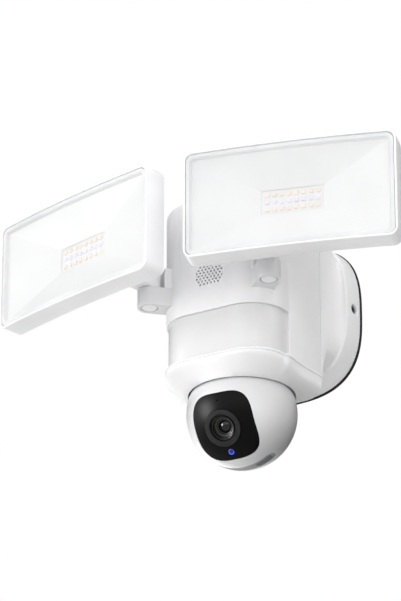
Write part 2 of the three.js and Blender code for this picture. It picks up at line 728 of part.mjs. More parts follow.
// A slot over the ball's top and back, where the post passes as the ball tilts.
function postSlot() {
  const outline = [];
  for (const [radius, from, to] of [[14, -8, 70], [50, 70, -8]]) {
    for (let i = 0; i <= 6; i += 1) {
      const angle = THREE.MathUtils.lerp(from, to, i / 6) * RAD;
      outline.push(new THREE.Vector2(radius * Math.sin(angle), radius * Math.cos(angle)));
    }
  }
  return prism(outline, 'x', -POST_X - 1.5, POST_X + 1.5);
}

// A straight-sided tool that leaves the ball through the card flap, grown by an offset.
function flapTool(offset, from, to) {
  const length = FLAP_LENGTH + 2 * offset;
  const width = FLAP_WIDTH + 2 * offset;
  return prism(roundedRect(length, width, width / 2 - 0.05, 5), 'y', -to, -from)
    .rotate([FLAP_ANGLE, 0, 0]);
}

function faceTool(offset, from, to) {
  const outline = Array.from({ length: 40 }, (_, i) => {
    const [x, z] = superellipse(1, FACE_POWER, 2 * Math.PI * i / 40);
    return new THREE.Vector2(x * (FACE_HALF_X + offset), z * (FACE_HALF_Z + offset));
  });
  return prism(outline, 'y', -to, -from);
}

function ballBlank() {
  const hollow = cut(sphere(BALL_R), sphere(BALL_R - WALL, 0, 0, 0, 24, 14));
  const boss = (side) => cut(
    rod('x', 6.5, Math.min(side * 22, side * 34), Math.max(side * 22, side * 34), 0, 0, 16),
    rod('x', AXLE_R + 0.4, Math.min(side * 18, side * 31.5), Math.max(side * 18, side * 31.5), 0, 0, 16),
  );
  return joined(hollow, boss(-1), boss(1));
}

function ballShell(blank) {
  const keep = box(-60, 60, -60, CAP_SPLIT, -60, 60);
  return cut(blank.intersect(keep), faceTool(GAP, 10, 60), flapTool(GAP, 25, 60), postSlot());
}

function ballCap(blank) {
  const keep = box(-60, 60, CAP_SPLIT + GAP, 60, -60, 60);
  return cut(blank.intersect(keep), postSlot());
}

function facePlate() {
  const dome = cut(
    sphere(FACE_R, 0, FACE_R - FACE_FRONT, 0, 32, 20),
    sphere(FACE_R - 2.4, 0, FACE_R - FACE_FRONT, 0, 24, 14),
  );
  const plate = faceTool(0, 12, 60).intersect(dome);
  return cut(
    plate,
    rod('y', LENS_RING_R + GAP, -40, -20, 0, 0, 32),
    rod('y', LIGHT_R + GAP, -40, -20, 0, LIGHT_Z, 16),
    rod('y', 0.7, -40, -20, 0, MIC_Z, 8),
  );
}

function lensRing() {
  const blank = rod('y', LENS_RING_R, -33.1, -28, 0, 0, 32);
  return cut(blank, rod('y', BARREL_R + GAP, -36, -26, 0, 0, 32));
}

// The barrel turned about the lens axis: a funnel at the front that steps down to the glass.
function lensBarrel() {
  const profile = [
    [0, 14.6], [BARREL_R - 1, 14.6], [BARREL_R - 1, 22], [BARREL_R, 22], [BARREL_R, 32],
    [BARREL_R - 0.8, 32.2], [7.6, 30.6], [7.2, 29.4], [6.2, 29.2], [6.2, 27.2], [0, 27.2],
  ];
  const geometry = new THREE.LatheGeometry(profile.map(([r, y]) => new THREE.Vector2(r, y)), 32);
  return solid(geometry).rotate([0, 0, 180]);
}

function lensGlass() {
  const disc = rod('y', GLASS_R, -31.6, -27.5, 0, 0, 28);
  return disc.intersect(sphere(8, 0, -22.6, 0, 28, 24));
}

function statusLight() {
  return cut(rod('y', LIGHT_R, -30.3, -27, 0, LIGHT_Z, 16), rod('y', 0.9, -31, -29.6, 0, LIGHT_Z, 12));
}

function imageBoard() {
  return joined(
    prism(roundedRect(30, 30, 4, 2), 'y', -14.3, -12.9),
    box(-7, 7, -14, -11.2, 8, 13),
  );
}

function cardFlap() {
  const skin = cut(sphere(BALL_R - 0.15, 0, 0, 0, 40, 26), sphere(BALL_R - 2, 0, 0, 0, 28, 18));
  return skin.intersect(flapTool(0, 22, 60));
}

function cardReader() {
  const cage = box(-13, 9, -29.2, -25.2, -3.4, 3.4);
  return joined(cage, box(-14, 17, -25.4, -24, -4.5, 4.5)).rotate([FLAP_ANGLE, 0, 0]);
}

function syncButton() {
  return rod('y', 1.6, -28.8, -26.2, 13, 0, 12).rotate([FLAP_ANGLE, 0, 0]);
}

function tiltMotor() {
  const can = rod('x', 8.6, POST_X + GAP, 18, 0, 0, 20);
  return cut(can, rod('x', AXLE_R + 0.4, 0, 30, 0, 0, 16));
}

function tiltAxle() {
  return rod('x', AXLE_R, -AXLE_HALF, AXLE_HALF, 0, 0, 16);
}

// ---- assembly -----------------------------------------------------------------------------

function addBase() {
  add(root, 'wall_bracket', wallBracket(), 'steel');
  add(root, 'wall_seal', wallSeal(), 'rubber');
  add(root, 'base_cover', baseCover(), 'white');
  add(root, 'side_screw_right', sideScrew(1), 'blackSteel');
  add(root, 'side_screw_left', sideScrew(-1), 'blackSteel');
  add(root, 'power_board', powerBoard(), 'board');
  add(root, 'cable_grommet', ring('y', INLET_R, 5, -4, -0.1, 0, CABLE_Z), 'rubber');
}

function addColumn() {
  add(root, 'column_shell', columnShell(), 'white');
  add(root, 'chin_cover', chinCover(), 'white');
  add(root, 'sensor_window', sensorWindow(), 'window');
  add(root, 'sensor_board', sensorBoard(), 'board');
  for (const [name, x] of [['left', -18], ['right', 18]]) {
    add(root, `motion_sensor_${name}`, rod('y', 4.2, -101, -96.3, x, -42, 16), 'aluminium');
  }
  add(root, 'speaker_mesh', box(-13, 13, -105.6, -105.1, GRILLE_Z - 13, GRILLE_Z + 13), 'rubber');
  const cone = joined(rod('y', 14, -104.8, -102, 0, GRILLE_Z, 24), rod('y', 8, -102.5, -96, 0, GRILLE_Z, 20));
  add(root, 'speaker_driver', cone, 'blackSteel');
  const board = joined(box(-32, 32, -61.6, -60, -14, 44), box(-16, 16, -64.5, -61, 8, 34));
  add(root, 'main_board', board, 'board');
  add(root, 'bearing_plate', bearingPlate(), 'acetal');
  add(root, 'pan_motor', panMotor(), 'steel');
  add(root, 'pan_pinion', panPinion(), 'acetal');
}

function addLamp(name, side) {
  add(root, `arm_${name}`, armBody(side), 'white');
  add(root, `pivot_pin_${name}`, pivotPin().translate([side * ARM_X, ARM_Y, 0]), 'steel');
  add(root, `pivot_cap_${name}`, pivotCap().translate([side * ARM_X, ARM_Y, 0]), 'white');
  const head = new THREE.Group();
  head.position.set(side * LAMP_X, LAMP_Y, LAMP_Z);
  head.rotation.z = side * LAMP_YAW * RAD;
  add(head, `knuckle_${name}`, knuckle(side), 'white');
  add(head, `tilt_pin_${name}`, tiltPin(side), 'steel');
  add(head, `lamp_housing_${name}`, lampHousing(side), 'white');
  add(head, `lamp_lens_${name}`, lampLens(), 'lens');
  add(head, `lamp_seal_${name}`, lampSeal(), 'rubber');
  add(head, `reflector_${name}`, lampReflector(), 'reflector');
  add(head, `led_board_${name}`, ledBoard(), 'aluminium');
  root.add(head);
}

function addBall() {
  const pan = new THREE.Group();
  pan.position.set(0, BALL_Y, 0);
  pan.rotation.z = PAN_REST * RAD;
  add(pan, 'turntable', turntable(), 'acetal');
  const centre = new THREE.Group();
  centre.position.z = BALL_Z;
  add(centre, 'tilt_motor', tiltMotor(), 'steel');
  const ball = new THREE.Group();
  ball.rotation.x = TILT_REST * RAD;
  const blank = ballBlank();
  add(ball, 'ball_shell', ballShell(blank), 'white');
  add(ball, 'ball_rear_cap', ballCap(blank), 'white');
  add(ball, 'face_plate', facePlate(), 'black');
  add(ball, 'lens_ring', lensRing(), 'darkGrey');
  add(ball, 'lens_barrel', lensBarrel(), 'black');
  add(ball, 'lens_glass', lensGlass(), 'glass');
  add(ball, 'status_light', statusLight(), 'blue');
  add(ball, 'image_board', imageBoard(), 'board');
  add(ball, 'card_flap', cardFlap(), 'greyRubber');
  add(ball, 'card_reader', cardReader(), 'steel');
  add(ball, 'sync_button', syncButton(), 'acetal');
  add(ball, 'tilt_axle', tiltAxle(), 'steel');
  centre.add(ball);
  pan.add(centre);
  root.add(pan);
}

addBase();
addColumn();
addLamp('right', 1);
addLamp('left', -1);
addBall();

export default root;
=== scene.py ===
# %% [markdown]
# # A floodlight security camera
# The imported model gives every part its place. This lesson dresses it: each part that shows
# is modelled again with smooth curves and fine edges, and every surface gets its own material.
# All sizes are millimetres, turned to metres in one place.

# %% Load the frame
import math

import bmesh
import bpy
from mathutils import Matrix, Vector


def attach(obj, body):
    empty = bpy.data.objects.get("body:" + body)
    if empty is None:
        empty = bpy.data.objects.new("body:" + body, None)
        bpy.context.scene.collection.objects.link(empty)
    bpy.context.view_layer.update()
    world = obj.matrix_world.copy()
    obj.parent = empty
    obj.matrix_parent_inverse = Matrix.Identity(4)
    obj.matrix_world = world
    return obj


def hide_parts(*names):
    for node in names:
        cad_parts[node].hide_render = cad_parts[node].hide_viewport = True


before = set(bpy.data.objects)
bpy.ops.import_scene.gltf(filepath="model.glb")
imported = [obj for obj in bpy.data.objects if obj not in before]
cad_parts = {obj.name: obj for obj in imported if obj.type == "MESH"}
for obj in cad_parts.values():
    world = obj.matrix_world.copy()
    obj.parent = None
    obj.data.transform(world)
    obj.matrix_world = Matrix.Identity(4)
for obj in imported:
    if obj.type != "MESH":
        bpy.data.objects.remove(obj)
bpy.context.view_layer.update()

MM = 0.001
print("parts in the frame:", len(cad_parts))

# %% [markdown]
# ## Places
# A lamp and the ball are drawn in frames of their own, looking along -Y, and then turned to
# the way they are stored: lamps swung outwards, the ball turned a little and looking down.

# %% The local frames
LAMP_X, LAMP_Y, LAMP_Z = 80.3, -149.6, 19.4
LAMP_YAW = math.radians(15.2)
BALL_Y, BALL_Z = -65.6, -84.6
BALL_CENTRE = Vector((0, BALL_Y, BALL_Z)) * MM
BALL_PAN = Matrix.Rotation(math.radians(2), 4, "Z")
BALL_TILT = Matrix.Rotation(math.radians(35), 4, "X")
FLAP_ROLL = Matrix.Rotation(math.radians(63.5), 4, "X")
SIDES = {"right": 1, "left": -1}

def lamp_place(side):
    centre = Vector((side * LAMP_X, LAMP_Y, LAMP_Z)) * MM
    return Matrix.Translation(centre) @ Matrix.Rotation(side * LAMP_YAW, 4, "Z")

HERE = Matrix.Identity(4)
BALL = Matrix.Translation(BALL_CENTRE) @ BALL_PAN @ BALL_TILT
FLAP = BALL @ FLAP_ROLL
print("the ball looks along", tuple(round(v, 2) for v in BALL.to_3x3() @ Vector((0, -1, 0))))

# %% [markdown]
# ## Outlines and meshes
# Most of the housing is an outline pushed along an axis, or a skin over a few rings. Round
# parts are profiles spun about an axis. These few helpers do all three, so that every piece
# below is only its own numbers. The skin's rings all have the same count, and some of them
# differ too quickly for the bridging operator, which then twists; so it joins them by index.

# %% Outlines
def circle(radius, sides=48, cx=0.0, cy=0.0):
    turns = [2 * math.pi * i / sides for i in range(sides)]
    return [(cx + radius * math.cos(a), cy + radius * math.sin(a)) for a in turns]

def rounded_rect(width, height, radius, steps=8):
    points = []
    for sx, sy, start in ((1, 1, 0), (-1, 1, 90), (-1, -1, 180), (1, -1, 270)):
        for i in range(steps + 1):
            a = math.radians(start + 90 * i / steps)
            points.append((sx * (width / 2 - radius) + radius * math.cos(a),
                           sy * (height / 2 - radius) + radius * math.sin(a)))
    return points

def superellipse(half, power, sides=120):
    points = []
    for i in range(sides):
        c, s = math.cos(2 * math.pi * i / sides), math.sin(2 * math.pi * i / sides)
        radius = half / (abs(c) ** power + abs(s) ** power) ** (1 / power)
        points.append((radius * c, radius * s))
    return points

# %% Meshes from outlines
LIFTS = {
    "x": lambda a, b, t: (t, a, b),
    "y": lambda a, b, t: (a, t, b),
    "z": lambda a, b, t: (a, b, t),
}

def prism(outline, axis, start, end, bm=None):
    bm = bm or bmesh.new()
    face = bm.faces.new([bm.verts.new(LIFTS[axis](a, b, start)) for a, b in outline])
    grown = bmesh.ops.extrude_face_region(bm, geom=[face])
    verts = [v for v in grown["geom"] if isinstance(v, bmesh.types.BMVert)]
    bmesh.ops.translate(bm, verts=verts, vec=LIFTS[axis](0, 0, end - start))
    return bm

def skin(rings, close=(True, True)):
    """Quads between rings of the same count, and a face over each open end if asked."""
    bm = bmesh.new()
    loops = [[bm.verts.new(point) for point in ring] for ring in rings]
    for below, above in zip(loops, loops[1:]):
        for i in range(len(below)):
            bm.faces.new((below[i - 1], below[i], above[i], above[i - 1]))
    for capped, verts in zip(close, (loops[0], loops[-1])):
        if capped:
            bm.faces.new(verts)
    return bm

def spun(profile, steps=96, axis="y"):
    bm = bmesh.new()
    verts = [bm.verts.new((r, t, 0) if axis == "y" else (r, 0, t)) for r, t in profile]
    edges = [bm.edges.new(pair) for pair in zip(verts, verts[1:])]
    turn_axis = (0, 1, 0) if axis == "y" else (0, 0, 1)
    bmesh.ops.spin(bm, geom=verts + edges, cent=(0, 0, 0), axis=turn_axis, dvec=(0, 0, 0),
                   angle=2 * math.pi, steps=steps, use_merge=True)
    return bm

def ball_mesh(radius, rings=96, centre_y=0.0):
    bm = bmesh.new()
    made = bmesh.ops.create_uvsphere(bm, u_segments=2 * rings, v_segments=rings, radius=radius)
    bmesh.ops.rotate(bm, verts=made["verts"], cent=(0, 0, 0),
                     matrix=Matrix.Rotation(math.radians(90), 3, "X"))
    bmesh.ops.translate(bm, verts=made["verts"], vec=(0, centre_y, 0))
    return bm

def moved(bm, matrix):
    bmesh.ops.transform(bm, matrix=matrix, verts=bm.verts)
    return bm

def block(x0, x1, y0, y1, z0, z1):
    return prism([(x0, y0), (x1, y0), (x1, y1), (x0, y1)], "z", z0, z1)

# %% [markdown]
# ## From a mesh to a piece
# A piece is cut to shape with Booleans, and then its edges get a small round, since no
# moulded edge is truly sharp and the round is what catches the light. It rides on the body
# that it moves with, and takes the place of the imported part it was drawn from.

# %% Putting a piece in the scene
def raw_object(name, bm, place=HERE):
    bmesh.ops.remove_doubles(bm, verts=bm.verts, dist=0.0005)
    bmesh.ops.recalc_face_normals(bm, faces=bm.faces)
    bmesh.ops.transform(bm, matrix=place @ Matrix.Scale(MM, 4), verts=bm.verts)
    mesh = bpy.data.meshes.new(name)
    bm.to_mesh(mesh)
    bm.free()
    made = bpy.data.objects.new(name, mesh)
    bpy.context.scene.collection.objects.link(made)
    return made

def settle(made):
    """Writes the piece's modifiers into its mesh."""
    graph = bpy.context.evaluated_depsgraph_get()
    mesh = bpy.data.meshes.new_from_object(made.evaluated_get(graph))
    old = made.data
    made.modifiers.clear()
    made.data = mesh
    bpy.data.meshes.remove(old)

def piece(name, bm, place, body, material, stands_for=(), cuts=(), keeps=(), edge=0.3,
          corner=30, steps=3):
    """edge is the radius of its edges; cuts are taken from it and keeps bound it."""
    made = raw_object(name, bm, place)
    for operation, tools in (("DIFFERENCE", cuts), ("INTERSECT", keeps)):
        for tool_bm in tools:
            tool = raw_object("tool", tool_bm, place)
            change = made.modifiers.new("cut", "BOOLEAN")
            change.operation, change.solver, change.object = operation, "EXACT", tool
            settle(made)
            spare = tool.data
            bpy.data.objects.remove(tool)
            bpy.data.meshes.remove(spare)
    if edge:
        rounding = made.modifiers.new("edge", "BEVEL")
        rounding.width, rounding.segments = edge * MM, steps
        rounding.limit_method, rounding.angle_limit = "ANGLE", math.radians(corner)
        rounding.profile, rounding.use_clamp_overlap = 0.5, True
        rounding.miter_outer = "MITER_ARC"
        settle(made)
    made.data.shade_smooth()
    made.data.set_sharp_from_angle(angle=math.radians(corner))
    made.data.materials.clear()
    made.data.materials.append(material)
    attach(made, body)
    if stands_for:
        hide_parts(*stands_for)
    return made

# %% [markdown]
# ## Materials
# Outdoor lights are moulded in a UV-stable plastic. A moulded skin is never perfect: the
# mould is spark-eroded or polished, which gives the eye a fine grain and a slow change in
# gloss. Each recipe is one Principled shader, a broad noise for gloss and a fine one for bump.

# %% Colours and nodes
def srgb(code):
    values = [int(code[i:i + 2], 16) / 255 for i in (0, 2, 4)]
    linear = [v / 12.92 if v <= 0.04045 else ((v + 0.055) / 1.055) ** 2.4 for v in values]
    return (*linear, 1.0)

def add_node(tree, kind, inputs=None, links=None, **settings):
    made = tree.nodes.new(kind)
    for key, value in settings.items():
        setattr(made, key, value)
    for key, value in (inputs or {}).items():
        made.inputs[key].default_value = value
    for key, source in (links or {}).items():
        tree.links.new(source, made.inputs[key])
    return made

def recipe(name, dark, light, gloss, patch_mm=25.0, grain_mm=0.5, grain=0.05, stretch=(1, 1, 1),
           **shader):
    """gloss is the range of roughness; patch_mm and grain_mm are the real sizes of the noises."""
    made = bpy.data.materials.new(name)
    made.use_nodes = True
    tree = made.node_tree
    tree.nodes.clear()
    where = add_node(tree, "ShaderNodeTexCoord").outputs["Object"]
    place = add_node(tree, "ShaderNodeMapping", {"Scale": stretch}, {"Vector": where})
    broad = add_node(tree, "ShaderNodeTexNoise", {"Scale": 1000 / patch_mm, "Detail": 3.0},
                     {"Vector": place.outputs[0]})
    fine = add_node(tree, "ShaderNodeTexNoise", {"Scale": 1000 / grain_mm, "Detail": 2.0},
                    {"Vector": place.outputs[0]})
    tone = add_node(tree, "ShaderNodeValToRGB", links={"Fac": broad.outputs["Fac"]})
    tone.color_ramp.elements[0].position, tone.color_ramp.elements[1].position = 0.35, 0.65
    tone.color_ramp.elements[0].color, tone.color_ramp.elements[1].color = srgb(dark), srgb(light)
    rough = add_node(tree, "ShaderNodeMapRange", {"To Min": gloss[0], "To Max": gloss[1]},
                     {"Value": broad.outputs["Fac"]})
    bump = add_node(tree, "ShaderNodeBump", {"Strength": grain, "Distance": 0.0001},
                    {"Height": fine.outputs["Fac"]})
    surface = add_node(tree, "ShaderNodeBsdfPrincipled", shader,
                       {"Base Color": tone.outputs["Color"], "Roughness": rough.outputs["Result"],
                        "Normal": bump.outputs["Normal"]})
    add_node(tree, "ShaderNodeOutputMaterial", links={"Surface": surface.outputs[0]})
    return made

# %% The finishes
# ASA, injection moulded in a finely spark-eroded mould: satin white, hardly any grain.
WHITE = recipe("satin_moulded_asa", "EEEEEF", "F2F2F3", (0.38, 0.48), grain=0.08)
# The same plastic on the ball, polished, and painted a shade greyer so that it falls off into
# shadow: the grey is painted shade, not the plastic's own colour.
BALL_WHITE_PAINTED_SHADE = recipe("polished_moulded_asa_painted_shade", "DEDEDF", "E2E2E3", (0.32, 0.4), grain=0.04,
                    **{"Coat Weight": 1.0, "Coat Roughness": 0.35})
# And on the lamp arms, as grey again but duller: the grey is painted shade, for the shadow that the
# lamps cast on the arms.
ARM_WHITE_PAINTED_SHADE = recipe("dull_moulded_asa_painted_shade", "DDDDDE", "E1E1E2", (0.45, 0.55), grain=0.08)
# Polyethylene window, moulded thin and smooth so that body heat passes: a shade greyer.
WINDOW = recipe("semi_gloss_moulded_polyethylene", "DFDFDF", "E3E3E3", (0.22, 0.3), grain=0.02)
# Polycarbonate sheet, polished: nearly clear, so most of it is let through by its alpha.
CLEAR = recipe("polished_clear_polycarbonate", "F4F6F8", "FAFBFC", (0.05, 0.09), grain=0.0,
               Alpha=0.12, IOR=1.58)
# The sheet's glued border, printed grey behind the clear plastic.
FROST = recipe("frosted_grey_print", "DCDDDE", "E4E5E6", (0.3, 0.4), grain=0.05)
# White ABS, polished in the mould: throws the light forwards.
REFLECTOR = recipe("gloss_moulded_white_abs", "E2E2E2", "E6E6E6", (0.4, 0.5), grain=0.02)
# Aluminium board under a white solder resist.
LED_BOARD = recipe("white_solder_resist", "E2E2E1", "E6E6E5", (0.4, 0.5), patch_mm=6)
# Silicone and phosphor over each diode: amber on the warm rows, lilac on the cool row.
WARM = recipe("warm_phosphor_silicone", "E8DACA", "EDE1D3", (0.3, 0.45), patch_mm=3)
COOL = recipe("cool_phosphor_silicone", "DDDAEA", "E5E2EF", (0.3, 0.45), patch_mm=3)
# Black PMMA with a hard coat that soaks up glare: black, with only a soft sheen.
FACE = recipe("polished_black_acrylic", "030303", "050506", (0.28, 0.34), grain=0.0, IOR=1.2)
# PC-ABS, satin moulded, in graphite and in black.
GRAPHITE = recipe("satin_graphite_pc_abs", "1B1B1C", "232325", (0.4, 0.5), patch_mm=8, IOR=1.3)
BARREL = recipe("satin_black_pc_abs", "0A0A0B", "101011", (0.22, 0.3), patch_mm=6, IOR=1.45)
# Brass ring turned on a lathe, blackened and worn warm at its edge.
BRASS = recipe("blackened_turned_brass", "56524A", "68635A", (0.28, 0.36), patch_mm=2,
               stretch=(1, 6, 1), Metallic=1.0)
# Lens glass with an anti-reflection coating: near black, with a blue cast and a small glint.
GLASS = recipe("coated_lens_glass", "04060C", "0A1020", (0.02, 0.04), grain=0.0, IOR=1.45)
# Acrylic light guide, lit blue.
LIGHT = recipe("lit_blue_light_guide", "2A38C8", "3A48D8", (0.3, 0.4), patch_mm=2,
               **{"Emission Color": srgb("4A58F0"), "Emission Strength": 0.9})
CORE_BLUE = recipe("deep_blue_light_guide", "0A0E50", "10166A", (0.3, 0.4), patch_mm=2)
# Silicone rubber, moulded matte grey, and a darker pad; foam and grommet rubber in black.
FLAP_RUBBER = recipe("matte_grey_silicone", "A8A9AC", "B2B3B6", (0.7, 0.85), grain=0.2)
PAD_RUBBER = recipe("ribbed_dark_silicone", "7A7C80", "84868A", (0.7, 0.85), grain=0.3)
BLACK_RUBBER = recipe("closed_cell_black_foam", "131315", "1D1D20", (0.8, 0.95), grain=0.5)
# Zinc-plated pressed steel, and black oxide on the screws.
ZINC = recipe("zinc_plated_steel", "A9ACB0", "BFC2C6", (0.3, 0.42), patch_mm=8, Metallic=1.0)
OXIDE = recipe("black_oxide_steel", "26272A", "34353A", (0.4, 0.55), patch_mm=3, Metallic=1.0)
GREY_STEEL = recipe("machined_steel", "8C8E92", "A2A4A8", (0.3, 0.4), patch_mm=2, Metallic=1.0)
# Green solder resist on glass fibre, and natural acetal for the gears.
BOARD = recipe("green_solder_resist", "14432A", "1B5535", (0.35, 0.5), patch_mm=4)
ACETAL = recipe("natural_moulded_acetal", "DDD8CA", "E8E4D8", (0.4, 0.5))
print("materials:", len(bpy.data.materials))

# %% [markdown]
# ## Base and flare
# The base is one moulding: a straight wall off the seal, a small rounded rim, and a concave
# sweep forwards to the back of the column. It could be a box with big bevels, but the sweep
# changes from nearly square to round on the way. Rings of one superellipse family follow it.

# %% Base cover
BALL_R = 35.6
BALL_CLEARANCE = 1.0
WALL = 2.2
SCREW_Y = -9.5
BASE_HALF = 53.6
BASE_BACK = -2.3
BASE_POWER = 2.9
RIM_Y = -19.0
RIM_HALF = 52.7
RIM_ROUND = 1.6
COLUMN_BACK = -42.6
FLARE_Y = COLUMN_BACK + 0.9
FLARE_HALF = 45.3
FLARE_TOP = 49.0
FLARE_BOTTOM = 72.0
FLARE_POWER = 12
WEB_SHARE = 0.08

def ring_at(y, half, power=BASE_POWER):
    return [(x, y, z) for x, z in superellipse(half, power)]

def flare_ring(share):
    """The concave sweep: share 0 is at the column, 1 at the rim."""
    weight = 1 - math.sqrt(1 - share * share)
    beyond = max(0.0, (share - WEB_SHARE) / (1 - WEB_SHARE))
    low_weight = 1 - (1 - beyond) ** 6
    y = FLARE_Y + share * (RIM_Y - FLARE_Y)
    rim = superellipse(RIM_HALF - RIM_ROUND, BASE_POWER)
    throat = superellipse(1.0, FLARE_POWER)
    points = []
    for (rx, rz), (cx, cz) in zip(rim, throat):
        tall, rise = (FLARE_TOP, weight) if cz > 0 else (FLARE_BOTTOM, low_weight)
        points.append((cx * FLARE_HALF + (rx - cx * FLARE_HALF) * weight, y,
                       cz * tall + (rz - cz * tall) * rise))
    return points

def rounded_rim():
    """A quarter round from the flare's end to the base's side wall."""
    angles = [math.radians(90 * i / 6) for i in range(7)]
    return [ring_at(RIM_Y + RIM_ROUND * (1 - math.cos(a)), RIM_HALF - RIM_ROUND * (1 - math.sin(a)))
            for a in angles]

def base_cover():
    shares = [0, 0.04, WEB_SHARE, 0.1, 0.13, 0.17, 0.22, 0.28, 0.35]
    shares += [math.sin(math.radians(angle)) for angle in range(26, 88, 5)]
    outer = [flare_ring(share) for share in shares] + rounded_rim()
    outer.append(ring_at(BASE_BACK, BASE_HALF))
    inner = [ring_at(BASE_BACK, BASE_HALF - WALL), ring_at(RIM_Y + 1.5, 49.7), ring_at(-24, 43, 6),
             ring_at(FLARE_Y, 42, 7)]
    return skin(outer + inner + [outer[0]], close=(False, False))

def ball_room():
    return moved(ball_mesh(BALL_R + BALL_CLEARANCE), Matrix.Translation(BALL_CENTRE / MM))

piece("base_shell", base_cover(), HERE, "root", WHITE, ["base_cover"], edge=0.25, corner=35,
      cuts=[prism(circle(3.5, 32, SCREW_Y, 0), "x", -60, 60), ball_room()])
print("base, mm across:", 2 * BASE_HALF)

# %% [markdown]
# ## Wall seal
# A band of black foam between the base and the wall keeps rain off the wiring. It could be a
# plain line of dark paint, but seen from the side it stands proud, so it is a real band: the
# base's own outline, a little larger, with the middle cut out.

# %% Wall seal
SEAL_HALF = BASE_HALF + 0.6
SEAL_WIDTH = 5.6
SEAL_DEPTH = 2

piece("wall_seal_band", prism(superellipse(SEAL_HALF, BASE_POWER), "y", -SEAL_DEPTH, 0), HERE,
      "root", BLACK_RUBBER, ["wall_seal"], edge=0.2,
      cuts=[prism(superellipse(SEAL_HALF - SEAL_WIDTH, BASE_POWER), "y", -3, 1)])

# %% [markdown]
# ## Side screws
# A screw on each side holds the base on the wall bracket. What shows is a recess with a
# machined head and its black hexagon socket. The head is a profile spun about the screw's own
# axis, which is quicker than bevelling a cylinder and gives its lip and dish in one go.

# %% Side screws
SCREW_SHIFT = Matrix.Translation((0, SCREW_Y, 0))

def side_screw(side):
    head = spun([(0, 50.9), (1.6, 50.9), (1.75, 52.2), (2.9, 52.2), (3.1, 51.9), (3.1, 50.2),
                 (1.8, 50.2), (1.8, 38), (0, 38)], 48)
    turn = Matrix.Rotation(math.radians(-90 * side), 4, "Z")
    return moved(head, SCREW_SHIFT @ turn)

def screw_socket(side):
    ends = sorted((side * 50.95, side * 51.6))
    return moved(prism(circle(1.55, 6), "x", *ends), SCREW_SHIFT)

for name, side in SIDES.items():
    piece(f"side_screw_head_{name}", side_screw(side), HERE, "root", GREY_STEEL,
          [f"side_screw_{name}"], edge=0)
    piece(f"side_screw_socket_{name}", screw_socket(side), HERE, "root", OXIDE, edge=0)

# %% [markdown]
# ## Column
# Seen from above the column is a D: a flat front, two big round corners and sides that splay
# a little to the back. It could be sculpted from a cube, but one outline pushed up keeps the
# corners true. Its top edge is then rounded, and a band is cut away for the sensor window.

# %% The D outline
COLUMN_FRONT = -108.2
COLUMN_HALF = 42.1
COLUMN_BACK_HALF = 45.5
CORNER_R = 25.1
CORNER_X = COLUMN_HALF - CORNER_R
CORNER_Y = COLUMN_FRONT + CORNER_R
COLUMN_TOP = 54.5
WINDOW_TOP = -27.0
WINDOW_BOTTOM = -57.6
WINDOW_END_Y = -78.6

def column_half(y):
    share = min(max((y - CORNER_Y) / (COLUMN_BACK - CORNER_Y), 0), 1)
    return COLUMN_HALF + (COLUMN_BACK_HALF - COLUMN_HALF) * share

def column_plan(offset=0.0, back=COLUMN_BACK, steps=28):
    half = [(column_half(back) + offset, back)]
    for i in range(steps + 1):
        a = -math.pi / 2 * i / steps
        half.append((CORNER_X + (CORNER_R + offset) * math.cos(a),
                     CORNER_Y + (CORNER_R + offset) * math.sin(a)))
    return half + [(-x, y) for x, y in reversed(half)]

# %% [markdown]
# ### Speaker holes
# The speaker sits behind a block of small holes. A picture of dots would do from afar, but
# these are real holes, so the dark inside shows through them. One tool made of many short
# pins cuts them all at once, each row half a step from the next.

# %% Column shell with the speaker holes
GRILLE_Z = -2.2
GRILLE_COLUMN = 2.6
GRILLE_ROW = 2.0
HOLE_R = 0.72
# Each row's first column, counted in half steps, and how many holes it has.
GRILLE_ROWS = ((-5, 6), (-6, 7), (-7, 8), (-6, 7), (-7, 8), (-6, 7), (-5, 6))

def grille_pins():
    bm = bmesh.new()
    for row, (first, count) in enumerate(GRILLE_ROWS):
        z = GRILLE_Z + (row - (len(GRILLE_ROWS) - 1) / 2) * GRILLE_ROW
        for i in range(count):
            prism(circle(HOLE_R, 12, (first / 2 + i) * GRILLE_COLUMN, z), "y",
                  COLUMN_FRONT - 1, COLUMN_FRONT + 4, bm)
    return bm

TOP_ROUND = 6.0

def column_shell():
    bm = prism(column_plan(), "z", WINDOW_BOTTOM, COLUMN_TOP)
    rim = [e for e in bm.edges if all(v.co.z > COLUMN_TOP - 0.1 for v in e.verts)
           and not all(v.co.y > COLUMN_BACK - 0.1 for v in e.verts)]
    bmesh.ops.bevel(bm, geom=rim, offset=TOP_ROUND, offset_type="OFFSET", segments=8, profile=0.5,
                    affect="EDGES", material=-1, clamp_overlap=True)
    return bm

piece("column_body", column_shell(), HERE, "root", WHITE, ["column_shell"], edge=0.25, corner=40,
      cuts=[block(-60, 60, -130, WINDOW_END_Y, -70, WINDOW_TOP),
            prism(column_plan(-WALL, COLUMN_BACK + 5), "z", -70, COLUMN_TOP - 9),
            grille_pins()])
print("speaker holes:", sum(count for first, count in GRILLE_ROWS))

# %% [markdown]
# ## Sensor window
# A thin wrap of polyethylene, set 1.5 mm in, so a shadow line runs along its top edge and a
# bright edge stands at each end. The column's own outline, drawn a little smaller, makes both
# its outside and its inside, so it follows the corners exactly.

# %% Sensor window
WINDOW_INSET = 1.5
WINDOW_THICK = 1.4

def window_band():
    outline = column_plan(-WINDOW_INSET, WINDOW_END_Y - 0.1)
    return prism(outline, "z", WINDOW_BOTTOM + 0.3, WINDOW_TOP - 0.15)

piece("sensor_window_skin", window_band(), HERE, "root", WINDOW, ["sensor_window"], edge=0.3,
      corner=40, cuts=[prism(column_plan(-WINDOW_INSET - WINDOW_THICK, WINDOW_END_Y + 6), "z",
                              -80, 0)])
print("window, mm tall:", round(WINDOW_TOP - WINDOW_BOTTOM, 1))

# %% [markdown]
# ## Chin
# The chin closes the column below. Its top keeps the D outline with a fine stepped lip, its
# front runs in to the round mouth of the ball, and its back stays nearly flat. A bevel can't
# turn a D into a circle, so each ring is a blend of the two, and a skin runs over the rings.

